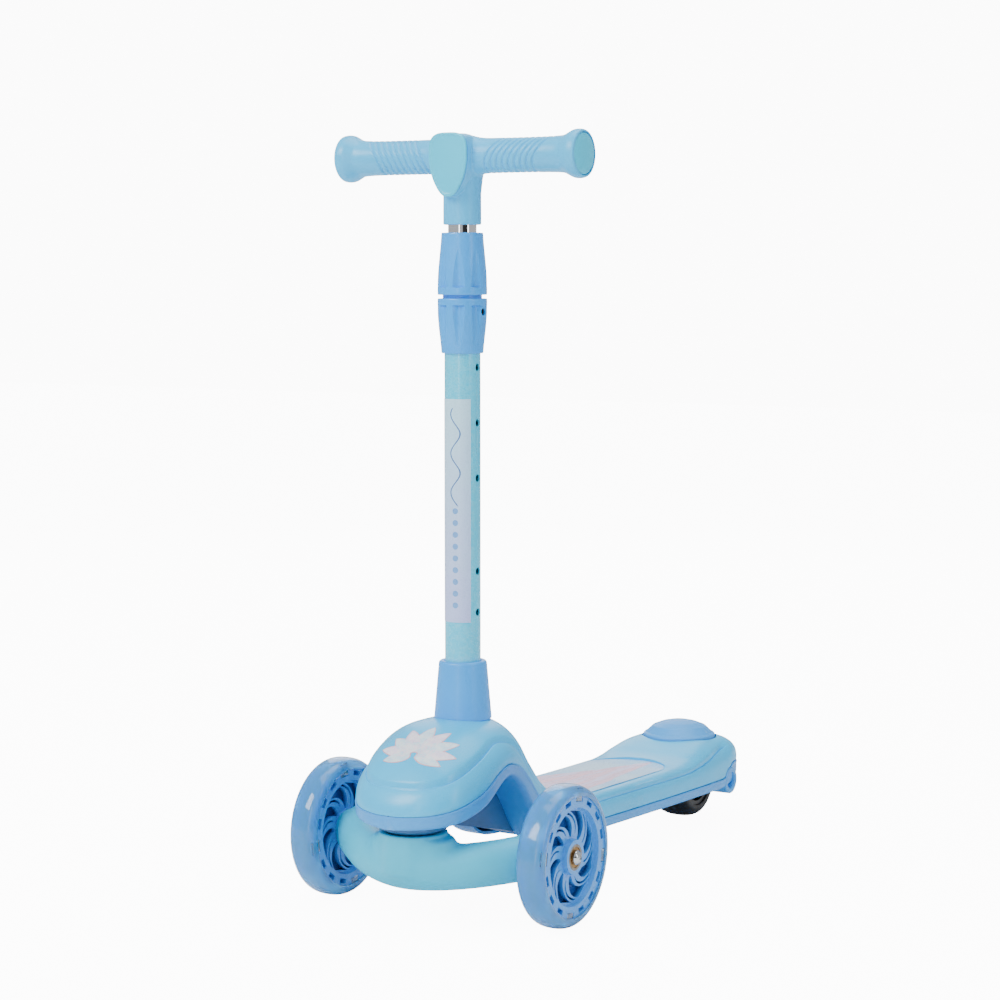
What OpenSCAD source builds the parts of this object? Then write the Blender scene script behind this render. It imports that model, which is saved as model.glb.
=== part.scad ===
// Three-wheel lean-to-steer kick scooter for small children.
// Front faces -Y, +Z is up, the origin is on the ground under the middle of the overall length.

/* [Overall] */
// Length from the nose of the dome to the back of the rear tyre
overall_l = 573; // [540:1:640]
// Distance between the middles of the two front tyres
track_w = 224; // [216:1:270]
// Height of the handlebar's centre line above the ground
bar_z = 637; // [600:1:760]
// Length of the handlebar over its end caps
bar_l = 237; // [210:1:300]

/* [Front wheels] */
// Outer diameter of a front tyre
front_d = 120; // [110:1:130]
// Width of a front tyre
front_w = 26; // [24:1:30]
// Number of light modules in a front tyre
light_count = 4; // [3:1:6]

/* [Rear wheel] */
// Outer diameter of the rear tyre
rear_d = 80; // [70:1:84]
// Width of the rear tyre
rear_w = 38; // [30:1:44]

/* [Stem] */
// Outer diameter of the lower stem tube
tube_d = 30.5; // [28:0.5:34]
// Wall of the lower stem tube
tube_wall = 1.6; // [1.2:0.1:2]
// Outer diameter of the chromed upper tube
inner_d = 24; // [20:0.5:25]
// Wall of the chromed upper tube
inner_wall = 1.5; // [1:0.1:2]
// Distance between two height settings
height_step = 46.7; // [38:0.1:50]
// Number of height settings
height_count = 4; // [3:1:4]
// Diameter of the height holes
height_hole_d = 6.4; // [5:0.1:7]

/* [Deck] */
// Width of the deck
deck_w = 110; // [100:1:124]
// Height of the deck's standing surface
deck_z = 76.5; // [72:0.5:84]
// Fall of the deck towards the rear wheel, in degrees
deck_slope = 1.6; // [0:0.1:2.5]
// Wall of the upper deck shell
shell_t = 3.2; // [2.4:0.1:4]
// Wall of the lower deck shell
tray_t = 3; // [2.4:0.1:4]
// Width of the dome over the front beam
dome_w = 116; // [108:1:126]
// Height of the dome's top under the stem
dome_z = 164; // [156:1:176]

/* [Steering] */
// Lean of the kingpin, with its top to the front
kingpin_lean = 10; // [6:1:12]
// Diameter of the kingpin
kingpin_d = 10; // [8:0.5:12]
// Distance from the front axle line forward to the kingpin seat
kingpin_ahead = 54; // [48:1:58]
// Half height of the front beam's arms
beam_r = 18.8; // [17:0.1:21]

/* [Brake] */
// Diameter of the brake pedal's dome
pedal_d = 71; // [64:1:74]
// Gap between the brake shoe and the rear tyre at rest
shoe_gap = 3.5; // [2.5:0.1:4]

/* [Hidden] */
$fn = 64;
eps = 0.01;
slide_gap = 0.05;    // radial clearance of parts that turn or slide on each other
fit_gap = 0.15;      // clearance of parts that are pressed or screwed together
move_gap = 1.5;      // clearance of moving parts that never touch

// --- places along the scooter ---
nose_ahead = 92;                              // dome's nose in front of the front axle
tail_behind = 33;                             // deck's tail behind the rear axle
nose_y = -overall_l / 2;
front_y = nose_y + nose_ahead;                // front axle line
rear_y = overall_l / 2 - rear_d / 2;          // rear axle
tail_y = rear_y + tail_behind;
kingpin_y = front_y - kingpin_ahead;
stem_y = front_y + 24.5;
front_axle_z = front_d / 2;
rear_axle_z = rear_d / 2;
deck_hw = deck_w / 2;
dome_hw = dome_w / 2;

// --- stem heights ---
tube_r = tube_d / 2;
tube_bore_r = tube_r - tube_wall;
inner_r = inner_d / 2;
base_h = 50;                                  // base collar
base_z = dome_z - 2.5;                        // its lower face, let into the dome
tee_r = inner_r + 4;                          // tee's neck
tee_bottom = bar_z - 57;
collar_top = bar_z - 118.5;                   // top of the fixed collar
collar_h = 46;
collar_r = tube_r + 5.65;                     // both collars where they meet
collar_small_r = tube_r + 2.2;
spigot_r = tube_r + 1.3;                      // threaded spigot of the fixed collar
spigot_h = 28;
nut_gap = 3;                                  // between the two collars
nut_z = collar_top + nut_gap;
nut_h = 52;
hole_top_z = collar_top - 11;                 // uppermost height hole
hole_low_z = hole_top_z - (height_count - 1) * height_step;
tube_top = collar_top - 2;
tube_foot = 100;                              // tube's lower end in the neck frame
inner_foot = hole_low_z - 22;
inner_top = bar_z - 6;

// --- steering ---
seat_r = 30;                                  // kingpin bowl in plan
seat_ball_r = 60;                             // ball that the bowl is part of
seat_z = deck_z - 1.5;                        // lowest point of the bowl
seat_gap = 0.8;
lean_c = [0, kingpin_y, seat_z + seat_ball_r];
beam_end_x = track_w / 2 - front_w / 2 - 3;   // outer face of the beam's end bosses
beam_mid_z = deck_z - 26.5;                   // arm centre line at the middle
beam_bow = kingpin_ahead + 8;                 // how far the arms bow forward
boss_r = 20;
boss_l = 20;

// --- wheels ---
bearing_r = 11;
bearing_w = 7;
axle_r = 4;
hub_hw = front_w / 2 - 1;                     // half width of a front hub's boss
rim_r = front_d / 2 - 9;                      // front hub's rim
rim_in_r = front_d / 2 - 20;
rim_hw = front_w / 2 - 1.6;
slot_count = 4 * light_count;                 // places round the rim, one in four is a light
light_turn = 9;
rear_hub_r = rear_d / 2 - 12;
rear_boss_hw = rear_w / 2 - 1;

// --- brake ---
pedal_r = pedal_d / 2;
pedal_gap = move_gap;
pedal_y = rear_y - 8;
tail_z = deck_z + 7.5;                        // top of the tail round the pedal
pedal_low_z = tail_z - 6;                     // lower edge of the pedal's skirt
pivot_y = pedal_y - pedal_r - 9;
pivot_z = tail_z - 16;
pivot_r = 2.5;
pin_lug_x = 20.5;                             // lugs that hold the pedal's pin

// ---------- helpers ----------

// A smooth curve through [position, value] pairs (Catmull-Rom, flat past its ends).
function find(list, p, i = 0) = i >= len(list) - 2 || p < list[i + 1][0] ? i : find(list, p, i + 1);
function slope(list, i) =
    let (a = max(i - 1, 0), b = min(i + 1, len(list) - 1))
    (list[b][1] - list[a][1]) / (list[b][0] - list[a][0]);
function curve(list, p) =
    p <= list[0][0] ? list[0][1] :
    p >= list[len(list) - 1][0] ? list[len(list) - 1][1] :
    let (i = find(list, p), h = list[i + 1][0] - list[i][0], t = (p - list[i][0]) / h,
         m0 = slope(list, i) * h, m1 = slope(list, i + 1) * h)
    (2 * t * t * t - 3 * t * t + 1) * list[i][1] + (t * t * t - 2 * t * t + t) * m0
    + (3 * t * t - 2 * t * t * t) * list[i + 1][1] + (t * t * t - t * t) * m1;
function power(v, e) = sign(v) * pow(abs(v), e);

// A closed body of rings, each ring the same number of points. A folded ring runs out and back along
// itself, so its ends are closed by a strip between its two halves.
module skin(rings, folded = false) {
    n = len(rings[0]);
    m = len(rings);
    last = (m - 1) * n;
    sides = [for (i = [0 : m - 2], j = [0 : n - 1]) let (k = (j + 1) % n)
        each [[i * n + j, i * n + k, (i + 1) * n + k], [i * n + j, (i + 1) * n + k, (i + 1) * n + j]]];
    near = folded ? [for (j = [0 : n / 2 - 2]) [j + 1, j, n - 1 - j, n - 2 - j]] : [[for (j = [n - 1 : -1 : 0]) j]];
    far = folded ? [for (j = [0 : n / 2 - 2]) [j, j + 1, n - 2 - j, n - 1 - j]] : [[for (j = [0 : n - 1]) j]];
    polyhedron([for (r = rings) each r], concat(near, sides, [for (f = far) [for (q = f) last + q]]));
}

// ---------- deck and dome ----------

// The deck falls towards the rear: everything flat on it is drawn level and then leaned about this line.
slope_y = front_y + 134;
function drop(y) = (y - slope_y) * tan(deck_slope);
module on_deck() {
    translate([0, slope_y, 0]) rotate([-deck_slope, 0, 0]) translate([0, -slope_y, 0]) children();
}

// Lines that the shells are drawn to, as [y, value] pairs.
width_line = [
    [nose_y, dome_hw * 0.14], [nose_y + 1.5, dome_hw * 0.28], [nose_y + 6, dome_hw * 0.5], [nose_y + 14, dome_hw * 0.7],
    [nose_y + 28, dome_hw * 0.87], [front_y - 42, dome_hw * 0.965], [front_y - 22, dome_hw], [front_y + 5, dome_hw * 0.98],
    [front_y + 40, dome_hw * 0.91], [front_y + 80, deck_hw * 0.92], [front_y + 130, deck_hw * 0.94],
    [rear_y - 140, deck_hw], [rear_y - 50, deck_hw], [rear_y - 20, deck_hw * 0.975], [rear_y, deck_hw * 0.94],
    [tail_y - 18, deck_hw * 0.89], [tail_y - 8, deck_hw * 0.8], [tail_y - 2, deck_hw * 0.66], [tail_y, deck_hw * 0.52]
];
crest_line = [
    [nose_y, dome_z - 62], [nose_y + 1.5, dome_z - 57], [nose_y + 6, dome_z - 48], [nose_y + 14, dome_z - 37],
    [nose_y + 30, dome_z - 21.5], [front_y - 40, dome_z - 9], [front_y - 12, dome_z - 1.5], [stem_y - 10, dome_z],
    [stem_y + 8, dome_z - 0.5], [stem_y + 18, dome_z - 3], [front_y + 53, dome_z - 14], [front_y + 68, dome_z - 30],
    [front_y + 83, deck_z + 40], [front_y + 96, deck_z + 25], [front_y + 105, deck_z + 15], [front_y + 113, deck_z + 7.5],
    [front_y + 122, deck_z + 2], [slope_y, deck_z - drop(slope_y)], [rear_y - 105, deck_z - drop(rear_y - 105)],
    [rear_y - 78, tail_z - 11], [rear_y - 60, tail_z - 6.5], [rear_y - 38, tail_z - 1.5], [rear_y - 18, tail_z],
    [rear_y, tail_z], [tail_y - 18, tail_z - 1], [tail_y - 8, tail_z - 4], [tail_y - 2, tail_z - 9], [tail_y, tail_z - 14]
];
parting_line = [
    [nose_y, dome_z - 66], [front_y - 60, dome_z - 59], [front_y - 35, dome_z - 51], [front_y - 12, dome_z - 39],
    [front_y + 4, dome_z - 34.5], [front_y + 18, dome_z - 36], [front_y + 40, dome_z - 46], [front_y + 67, deck_z + 15.5],
    [front_y + 88, deck_z - 10], [front_y + 110, deck_z - 22], [slope_y, deck_z - 24 - drop(slope_y)],
    [rear_y - 30, deck_z - 24 - drop(rear_y - 30)], [rear_y - 14, deck_z - 31.5], [rear_y - 4, deck_z - 27],
    [rear_y + 6, deck_z - 20], [tail_y, deck_z - 20]
];
belly_line = [
    [nose_y, dome_z - 77], [front_y - 60, dome_z - 74], [front_y - 29, dome_z - 66], [front_y - 12, dome_z - 56],
    [front_y + 4, dome_z - 48], [front_y + 18, dome_z - 48], [front_y + 34, dome_z - 58], [front_y + 52, deck_z + 9],
    [front_y + 68, deck_z - 14], [front_y + 86, deck_z - 29], [front_y + 112, deck_z - 34.5], [slope_y, deck_z - 35 - drop(slope_y)],
    [rear_y - 30, deck_z - 35 - drop(rear_y - 30)], [rear_y, deck_z - 43], [tail_y - 16, deck_z - 40],
    [tail_y - 5, deck_z - 34], [tail_y, deck_z - 26]
];
// Roundness of the upper section: 2 is an ellipse, more is squarer.
square_line = [
    [nose_y, 2.1], [front_y - 40, 2.3], [stem_y, 2.3], [front_y + 60, 2.0], [front_y + 90, 2.6], [front_y + 110, 4],
    [front_y + 130, 5], [rear_y - 80, 5], [rear_y - 40, 4], [tail_y, 3]
];
section_ys = concat(
    [for (s = [0, 0.7, 2, 4, 7, 11, 16, 22]) nose_y + s],
    [for (i = [1 : 14]) nose_y + 22 + i * (slope_y - nose_y - 22) / 14],
    [for (i = [1 : 3]) slope_y + i * (rear_y - 105 - slope_y) / 3],
    [for (i = [1 : 9]) rear_y - 105 + i * (tail_y - 12 - rear_y + 105) / 9],
    [for (s = [8, 4.5, 2, 0.7, 0]) tail_y - s]
);
arc_steps = 12;
end_wall = 4;                                // solid wall at the nose and the tail
slit = 0.5;                                  // half width of the inside where the ends are solid

function half_arc(w, low, rise, e, steps) =
    [for (i = [0 : steps]) let (a = 180 * i / steps)
        [w * power(cos(a), 2 / e), low + rise * pow(max(sin(a), 0), 2 / e)]];
function hollow(y) = y > nose_y + end_wall && y < tail_y - end_wall;

function upper_ring(y) =
    let (w = curve(width_line, y), p = curve(parting_line, y), h = curve(crest_line, y), e = curve(square_line, y),
         in_w = hollow(y) ? w - shell_t : slit, in_h = hollow(y) ? h - shell_t - p : slit,
         outer = half_arc(w, p, h - p, e, arc_steps), inner = half_arc(in_w, p, in_h, e, arc_steps))
    [for (q = concat(outer, [for (i = [arc_steps : -1 : 0]) inner[i]])) [q[0], y, q[1]]];
tray_square = 7;                             // roundness of the tray's section
function lower_ring(y) =
    let (w = curve(width_line, y), p = curve(parting_line, y), b = curve(belly_line, y),
         in_w = hollow(y) ? w - tray_t : slit, in_h = hollow(y) ? p - b - tray_t : slit,
         outer = half_arc(w, 0, p - b, tray_square, arc_steps), inner = half_arc(in_w, 0, in_h, tray_square, arc_steps))
    [for (q = concat(outer, [for (i = [arc_steps : -1 : 0]) inner[i]])) [-q[0], y, p - eps - q[1]]];

screw_x = deck_hw - 15;
screw_spots = [for (s = [-1, 1], y = [slope_y + 36, rear_y - 160, rear_y - 108]) [s * screw_x, y]];
screw_hole_r = 2;
screw_head_r = 3.6;
post_r = 5;
tray_z = deck_z - 35;                        // the tray's underside, as drawn level
post_split = tray_z + 14;                    // where the tray's posts meet the upper shell's

recess_hw = deck_hw - 13;
recess_front = slope_y + 4;
recess_rear = rear_y - 90;
recess_depth = 1.2;

module recess_shape(inset = 0) {
    for (y = [recess_front + recess_hw, recess_rear - recess_hw]) translate([0, y]) circle(recess_hw - inset);
    translate([-recess_hw + inset, recess_front + recess_hw])
        square([2 * (recess_hw - inset), recess_rear - recess_front - 2 * recess_hw]);
}

eyelet_r = 13;
eyelet_bore_r = 8;
eyelet_x = deck_hw * 0.94 - 0.5;             // outer faces of the eyelets
well_hw = rear_w / 2 + 4;
well_r = rear_d / 2 + 5;
wheel_gap = 2.5;                             // round the rear tyre where it comes out of the tail

module deck_top_shell() color([0.46, 0.82, 0.93]) {
    difference() {
        union() {
            skin([for (y = section_ys) upper_ring(y)], true);
            translate([0, stem_y, frame_top + fit_gap]) cylinder(r = base_low_r + 0.6, h = base_z - frame_top - fit_gap);
            on_deck() for (p = screw_spots) translate([p[0], p[1], post_split])
                cylinder(r = post_r, h = deck_z - 2.4 - post_split);
            for (s = [-1, 1]) translate([s * pin_lug_x - 1.5, pivot_y - 5, pivot_z - 5]) cube([3, 10, 14]);
        }
        translate([0, pivot_y, pivot_z]) rotate([0, 90, 0]) cylinder(r = pivot_r + fit_gap, h = 60, center = true);
        translate([0, stem_y, base_z]) cylinder(r = base_low_r + fit_gap, h = 10);
        translate([0, stem_y, dome_z - 40]) cylinder(r = tube_r + 2.5, h = 60);
        translate([0, pedal_y, tail_z - 14]) cylinder(r = pedal_r + pedal_gap, h = 30);
        translate([0, rear_y, rear_axle_z]) rotate([0, 90, 0])
            cylinder(r = rear_d / 2 + wheel_gap, h = rear_w + 2 * wheel_gap, center = true);
        on_deck() translate([0, 0, deck_z - recess_depth]) linear_extrude(10) recess_shape();
        on_deck() for (p = screw_spots) translate([p[0], p[1], post_split - 1]) cylinder(r = screw_hole_r, h = 8);
        for (s = [-1, 1]) translate([s * (eyelet_x + 8), rear_y, rear_axle_z])
            rotate([0, -90 * s, 0]) cylinder(r = eyelet_r + fit_gap, h = eyelet_x + 8 - well_hw);
    }
}

module deck_bottom_shell() color([0.45, 0.68, 0.93]) {
    difference() {
        union() {
            difference() {
                skin([for (y = section_ys) lower_ring(y)], true);
                translate([-frame_hw - fit_gap, nose_y + 20, 20])
                    cube([2 * (frame_hw + fit_gap), frame_back_y - nose_y - 20 + fit_gap, 120]);
                translate([0, kingpin_y, 40]) cylinder(r = seat_r + fit_gap, h = 100);
            }
            for (s = [-1, 1]) translate([s * eyelet_x, rear_y, rear_axle_z])
                rotate([0, -90 * s, 0]) cylinder(r = eyelet_r, h = eyelet_x - well_hw);
            on_deck() for (p = screw_spots) translate([p[0], p[1], tray_z + 1])
                cylinder(r = post_r, h = post_split - tray_z - 1);
        }
        translate([-well_hw, rear_y - well_r, 0]) cube([2 * well_hw, 2 * well_r - 8, deck_z]);
        for (s = [-1, 1]) translate([s * (eyelet_x + 1), rear_y, rear_axle_z])
            rotate([0, -90 * s, 0]) cylinder(r = eyelet_bore_r, h = 11);
        translate([0, rear_y, rear_axle_z]) rotate([0, 90, 0]) cylinder(r = axle_r + slide_gap, h = deck_w + 10, center = true);
        on_deck() for (p = screw_spots) translate([p[0], p[1], 0]) cylinder(r = screw_hole_r, h = deck_z);
    }
}

frame_hw = 21;
frame_top = dome_z - 14;
frame_wall = 4;
frame_back_y = front_y + 120;
socket_r = tube_r + 5;
foot_hw = deck_hw - 22;                      // the frame's foot plate on the tray
foot_l = 46;

// The frame's side outline in [y, z]; it hangs under the arch and reaches back into the deck.
module frame_outline() {
    polygon([
        [kingpin_y - 10, seat_z + 8], [kingpin_y + seat_r - 4, seat_z + 6], [front_y + 51, deck_z - 14.5],
        [frame_back_y, tray_z + 1], [frame_back_y, deck_z - 6], [front_y + 96, deck_z + 10], [front_y + 68, dome_z - 48],
        [stem_y + 20, dome_z - 24], [stem_y - 24, frame_top], [front_y - 34, dome_z - 24], [kingpin_y - 10, dome_z - 46]
    ]);
}
// The hollow between the frame's two side walls, open at the top.
module frame_hollow() {
    polygon([
        [kingpin_y + 14, seat_z + 28], [kingpin_y + seat_r, seat_z + 12], [front_y + 51, deck_z - 9],
        [frame_back_y - frame_wall, tray_z + 7], [frame_back_y - frame_wall, dome_z], [kingpin_y + 14, dome_z]
    ]);
}

module along_kingpin() {
    translate(lean_c) rotate([kingpin_lean, 0, 0]) children();
}

module neck_frame() color([0.36, 0.58, 0.85]) {
    difference() {
        union() {
            difference() {
                rotate([90, 0, 90]) linear_extrude(2 * frame_hw, center = true) frame_outline();
                rotate([90, 0, 90]) linear_extrude(2 * (frame_hw - frame_wall), center = true) frame_hollow();
            }
            translate([0, stem_y, 80]) cylinder(r = socket_r, h = frame_top - 80);
            translate([-frame_hw, stem_y - 2, 80]) cube([2 * frame_hw, 4, dome_z - 24 - 80]);
            intersection() {
                translate(lean_c) sphere(r = seat_ball_r, $fn = 96);
                translate([0, kingpin_y, seat_z]) cylinder(r = seat_r, h = 18);
            }
            on_deck() translate([-foot_hw, frame_back_y - 2, tray_z + tray_t + 0.1]) cube([2 * foot_hw, foot_l, frame_wall]);
        }
        translate([0, stem_y, tube_foot]) cylinder(r = tube_r + fit_gap, h = 100);
        along_kingpin() translate([0, 0, -seat_ball_r - 5]) cylinder(r = kingpin_d / 2 + slide_gap, h = 100);
        along_kingpin() translate([0, 0, -seat_ball_r + pocket_floor]) cylinder(r = kingpin_d / 2 + 8, h = 80);
    }
}
pocket_floor = 18;                           // of the kingpin's spring pocket, above the bowl's lowest point

module deck_screws() color([0.75, 0.76, 0.78]) on_deck() for (p = screw_spots) translate([p[0], p[1], tray_z]) {
    translate([0, 0, -2.2]) cylinder(r = screw_head_r, h = 2.2);
    translate([0, 0, -0.2]) cylinder(r = screw_hole_r - slide_gap, h = 19);
}

module deck_sticker() color([0.86, 0.84, 0.95]) on_deck()
    translate([0, 0, deck_z - recess_depth]) linear_extrude(0.3) recess_shape(1.2);

// ---------- stem ----------
base_low_r = tube_r + 9.35;
base_top_r = tube_r + 5.1;

module base_collar() color([0.45, 0.68, 0.95]) translate([0, stem_y, base_z]) difference() {
    rotate_extrude() polygon([
        [0, 0], [base_low_r, 0], [base_low_r - 0.2, 3], [base_top_r, base_h - 2], [base_top_r - 1.5, base_h], [0, base_h]
    ]);
    translate([0, 0, -1]) cylinder(r = tube_r + fit_gap, h = base_h + 5);
}

module outer_tube() color([0.5, 0.85, 0.93]) translate([0, stem_y, 0]) difference() {
    translate([0, 0, tube_foot]) cylinder(r = tube_r, h = tube_top - tube_foot);
    translate([0, 0, tube_foot - 1]) cylinder(r = tube_bore_r, h = tube_top);
    for (i = [0 : height_count - 1]) translate([0, 0, hole_top_z - i * height_step])
        rotate([0, 90, 0]) cylinder(r = height_hole_d / 2, h = 30);
    for (z = lower_holes) translate([0, 0, z]) rotate([0, 90, 0]) cylinder(r = height_hole_d / 2, h = 30);
    translate([tube_r + groove_r - groove_depth, 0, hole_low_z - 6]) cylinder(r = groove_r, h = 400);
}
groove_r = 4.5;
groove_depth = 0.8;
lower_holes = [hole_low_z - 79, hole_low_z - 114];

label_z = hole_low_z - 122;
label_h = 189;
label_t = 0.2;
label_half_angle = 58;
module tube_label() color([0.78, 0.85, 0.97]) translate([0, stem_y, label_z])
    rotate([0, 0, -90 - label_half_angle]) rotate_extrude(angle = 2 * label_half_angle)
        translate([tube_r, 0]) square([label_t, label_h]);

flute_count = 8;
// Scoops round a collar, shallow at the small end and deep at the ledge.
module flutes(big_r, small_r, h) {
    for (i = [0 : flute_count - 1]) rotate([0, 0, (i + 0.5) * 360 / flute_count])
        translate([big_r + 3.2, 0, 6]) rotate([0, -7, 0]) cylinder(r = 5, h = h - 14);
}

module fixed_collar() color([0.45, 0.68, 0.95]) translate([0, stem_y, 0]) difference() {
    union() {
        translate([0, 0, collar_top - collar_h]) rotate_extrude() polygon([
            [0, 0], [collar_small_r - 0.8, 0], [collar_small_r, 0.8], [collar_r - 0.9, collar_h * 0.45],
            [collar_r, collar_h * 0.8], [collar_r, collar_h - 1], [collar_r - 1, collar_h], [0, collar_h]
        ]);
        translate([0, 0, collar_top - eps]) cylinder(r = spigot_r, h = spigot_h);
    }
    translate([0, 0, collar_top - collar_h - 1]) cylinder(r = tube_r + fit_gap, h = tube_top + fit_gap - collar_top + collar_h + 1);
    translate([0, 0, collar_top - 5]) cylinder(r = collet_r + fit_gap, h = 60);
    translate([0, 0, hole_top_z]) rotate([0, 90, 0]) cylinder(r = height_hole_d / 2, h = 40);
    translate([0, 0, collar_top]) mirror([0, 0, 1]) flutes(collar_r, collar_small_r, collar_h);
}

collet_r = inner_r + 1.1;
module clamp_collet() color([0.92, 0.92, 0.9]) translate([0, stem_y, collar_top]) difference() {
    union() {
        cylinder(r = collet_r, h = spigot_h + 4);
        translate([0, 0, spigot_h]) cylinder(r1 = collet_r + 1.4, r2 = collet_r, h = 4);
    }
    translate([0, 0, -1]) cylinder(r = inner_r + slide_gap, h = 60);
    translate([0, -1, -1]) cube([30, 2, 60]);
}

module clamp_nut() color([0.45, 0.68, 0.95]) translate([0, stem_y, nut_z]) difference() {
    rotate_extrude() polygon([
        [0, 0], [collar_r - 1, 0], [collar_r, 1], [collar_r, nut_h * 0.2], [collar_r - 0.9, nut_h * 0.55],
        [collar_small_r - 0.3, nut_h - 0.8], [collar_small_r - 1.1, nut_h], [0, nut_h]
    ]);
    translate([0, 0, -1]) cylinder(r = spigot_r + slide_gap, h = 1 + spigot_h);
    translate([0, 0, -1]) cylinder(r = collet_r + 1.9, h = spigot_h + 6);
    cylinder(r = inner_r + 0.4, h = 100);
    flutes(collar_r, collar_small_r, nut_h);
}

module inner_tube() color([0.85, 0.86, 0.88]) translate([0, stem_y, 0]) difference() {
    translate([0, 0, inner_foot]) cylinder(r = inner_r, h = inner_top - inner_foot);
    translate([0, 0, inner_foot - 1]) cylinder(r = inner_r - inner_wall, h = 500);
    translate([0, 0, hole_low_z]) rotate([0, 90, 0]) cylinder(r = button_r + 0.2, h = 30);
    translate([0, 0, tee_bottom + rivet_rise]) rotate([90, 0, 0]) cylinder(r = rivet_r + eps, h = 2 * inner_d, center = true);
}

module guide_bush() color([0.2, 0.2, 0.22]) translate([0, stem_y, inner_foot]) difference() {
    union() {
        cylinder(r = tube_bore_r - slide_gap, h = 10);
        translate([0, 0, -2]) cylinder(r = tube_bore_r - slide_gap, h = 3);
    }
    translate([0, 0, 0]) cylinder(r = inner_r + eps, h = 20);
    translate([0, 0, -5]) cylinder(r = inner_r - inner_wall, h = 20);
    translate([tube_bore_r - 1.2, -groove_r, -5]) cube([5, 2 * groove_r, 30]);
}

button_r = height_hole_d / 2 - 0.3;
button_travel = 4;
module height_button() color([0.25, 0.25, 0.27]) translate([0, stem_y, hole_low_z]) rotate([0, 90, 0]) {
    translate([0, 0, inner_r - 6]) cylinder(r = button_r, h = 5.4);
    translate([0, 0, inner_r - 0.6]) intersection() {
        cylinder(r = button_r, h = 1.2);
        translate([0, 0, -7]) sphere(r = 8);
    }
}

module button_spring() color([0.7, 0.7, 0.72]) translate([0, stem_y, hole_low_z]) {
    translate([-inner_r + inner_wall + 0.7, -3, -14]) cube([0.7, 6, 28]);
    translate([-inner_r + inner_wall + 0.7, -3, -14]) cube([inner_r + 2, 6, 0.7]);
}

// ---------- handlebar ----------
bar_r = 14.6;
flare_r = 20.2;
cap_r = 17.6;
cap_t = 3.5;
grip_end_x = bar_l / 2 - 1.5;

module arm_profile() {
    e = grip_end_x;
    polygon([
        [0, 0], [0, 18], [8, 17.6], [16, 15.8], [24, 14.9], [32, bar_r], [e - 42, bar_r], [e - 24, bar_r + 0.4],
        [e - 17, bar_r + 1.2], [e - 12, flare_r - 2.2], [e - 8, flare_r - 0.4], [e - 4, flare_r], [e - 1, flare_r - 0.5],
        [e, flare_r - 1.2], [e, 0]
    ]);
}

module t_bar() color([0.5, 0.75, 0.95]) translate([0, stem_y, bar_z]) difference() {
    union() {
        for (s = [0, 1]) mirror([s, 0, 0]) rotate([90, 0, 90]) rotate_extrude()
            mirror([1, -1, 0]) arm_profile();
        sphere(r = 19.2);
        translate([0, 0, tee_bottom - bar_z]) cylinder(r = tee_r, h = bar_z - tee_bottom);
        translate([0, 0, tee_bottom - bar_z + 28]) cylinder(r1 = tee_r, r2 = tee_r + 2.5, h = 16);
        badge_plinth();
    }
    translate([0, 0, tee_bottom - bar_z - 1]) cylinder(r = inner_r + eps, h = inner_top - tee_bottom + 1);
    for (s = [-1, 1]) translate([s * grip_end_x, 0, 0]) rotate([0, -90 * s, 0])
        translate([0, 0, -1]) {
            cylinder(r = cap_r - 2 + eps, h = 8);
            cylinder(r = cap_r + eps, h = 3);
        }
    translate([0, 0, tee_bottom - bar_z + rivet_rise]) rotate([90, 0, 0]) cylinder(r = rivet_r + eps, h = 40, center = true);
}
rivet_r = 2.4;
rivet_rise = 12;                             // above the tee's lower end

badge_hw = 18.5;
badge_top = 19;
badge_low = -34;
badge_y = -21.5;
badge_t = 2.6;
// The shield: a broad top and a round point at the bottom.
module shield(inset = 0) {
    steps = 40;
    polygon([for (i = [0 : steps - 1]) let (a = 360 * i / steps, c = cos(a), s = sin(a),
        w = (badge_hw - inset) * (s < 0 ? 1 - 0.36 * pow(-s, 2.2) : 1))
        [w * power(c, 0.62), s > 0 ? (badge_top - inset) * power(s, 0.55) : (-badge_low - inset) * s]]);
}

module badge_plinth() {
    rotate([90, 0, 0]) translate([0, 0, 4]) linear_extrude(-badge_y - 4 - fit_gap) shield(0.8);
}

module t_bar_badge() color([0.55, 0.92, 0.98]) translate([0, stem_y + badge_y, bar_z])
    rotate([90, 0, 0]) {
        linear_extrude(badge_t - 0.8) shield();
        translate([0, 0, badge_t - 0.8 - eps]) linear_extrude(0.8) shield(1);
    }

module end_cap(s) color([0.48, 0.85, 0.95]) translate([s * grip_end_x, stem_y, bar_z]) rotate([0, 90 * s, 0]) {
    rotate_extrude() polygon([[0, -1.9], [cap_r, -1.9], [cap_r, -0.9], [cap_r - 0.8, -0.1], [cap_r - 2.6, 0.5],
        [cap_r * 0.57, 1.2], [0, 1.5]]);
    translate([0, 0, -6]) cylinder(r = cap_r - 2.2, h = 5);
}

module t_bar_rivet() color([0.7, 0.7, 0.72]) translate([0, stem_y, tee_bottom + rivet_rise]) rotate([90, 0, 0]) {
    difference() {
        cylinder(r = rivet_r, h = 2 * tee_r - 1, center = true);
        cylinder(r = rivet_r - 1, h = 2 * tee_r + 1, center = true);
    }
}

// ---------- front beam and kingpin ----------
arm_steps = 24;
arm_sides = 18;
arm_reach = 0.9;                             // share of the way to the bosses' outer faces
function arm_point(t) = [beam_end_x * t, front_y - beam_bow * (1 - pow(abs(t), 1.75)),
    beam_mid_z + (front_axle_z - beam_mid_z) * t * t];
function arm_ring(t) =
    let (p = arm_point(t), d = arm_point(t + 0.01) - arm_point(t - 0.01), n = [d[1], -d[0]] / norm([d[0], d[1]]))
    [for (j = [0 : arm_sides - 1]) let (a = 360 * j / arm_sides)
        p + [n[0] * (beam_r - 2) * cos(a), n[1] * (beam_r - 2) * cos(a), beam_r * sin(a)]];

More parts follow.
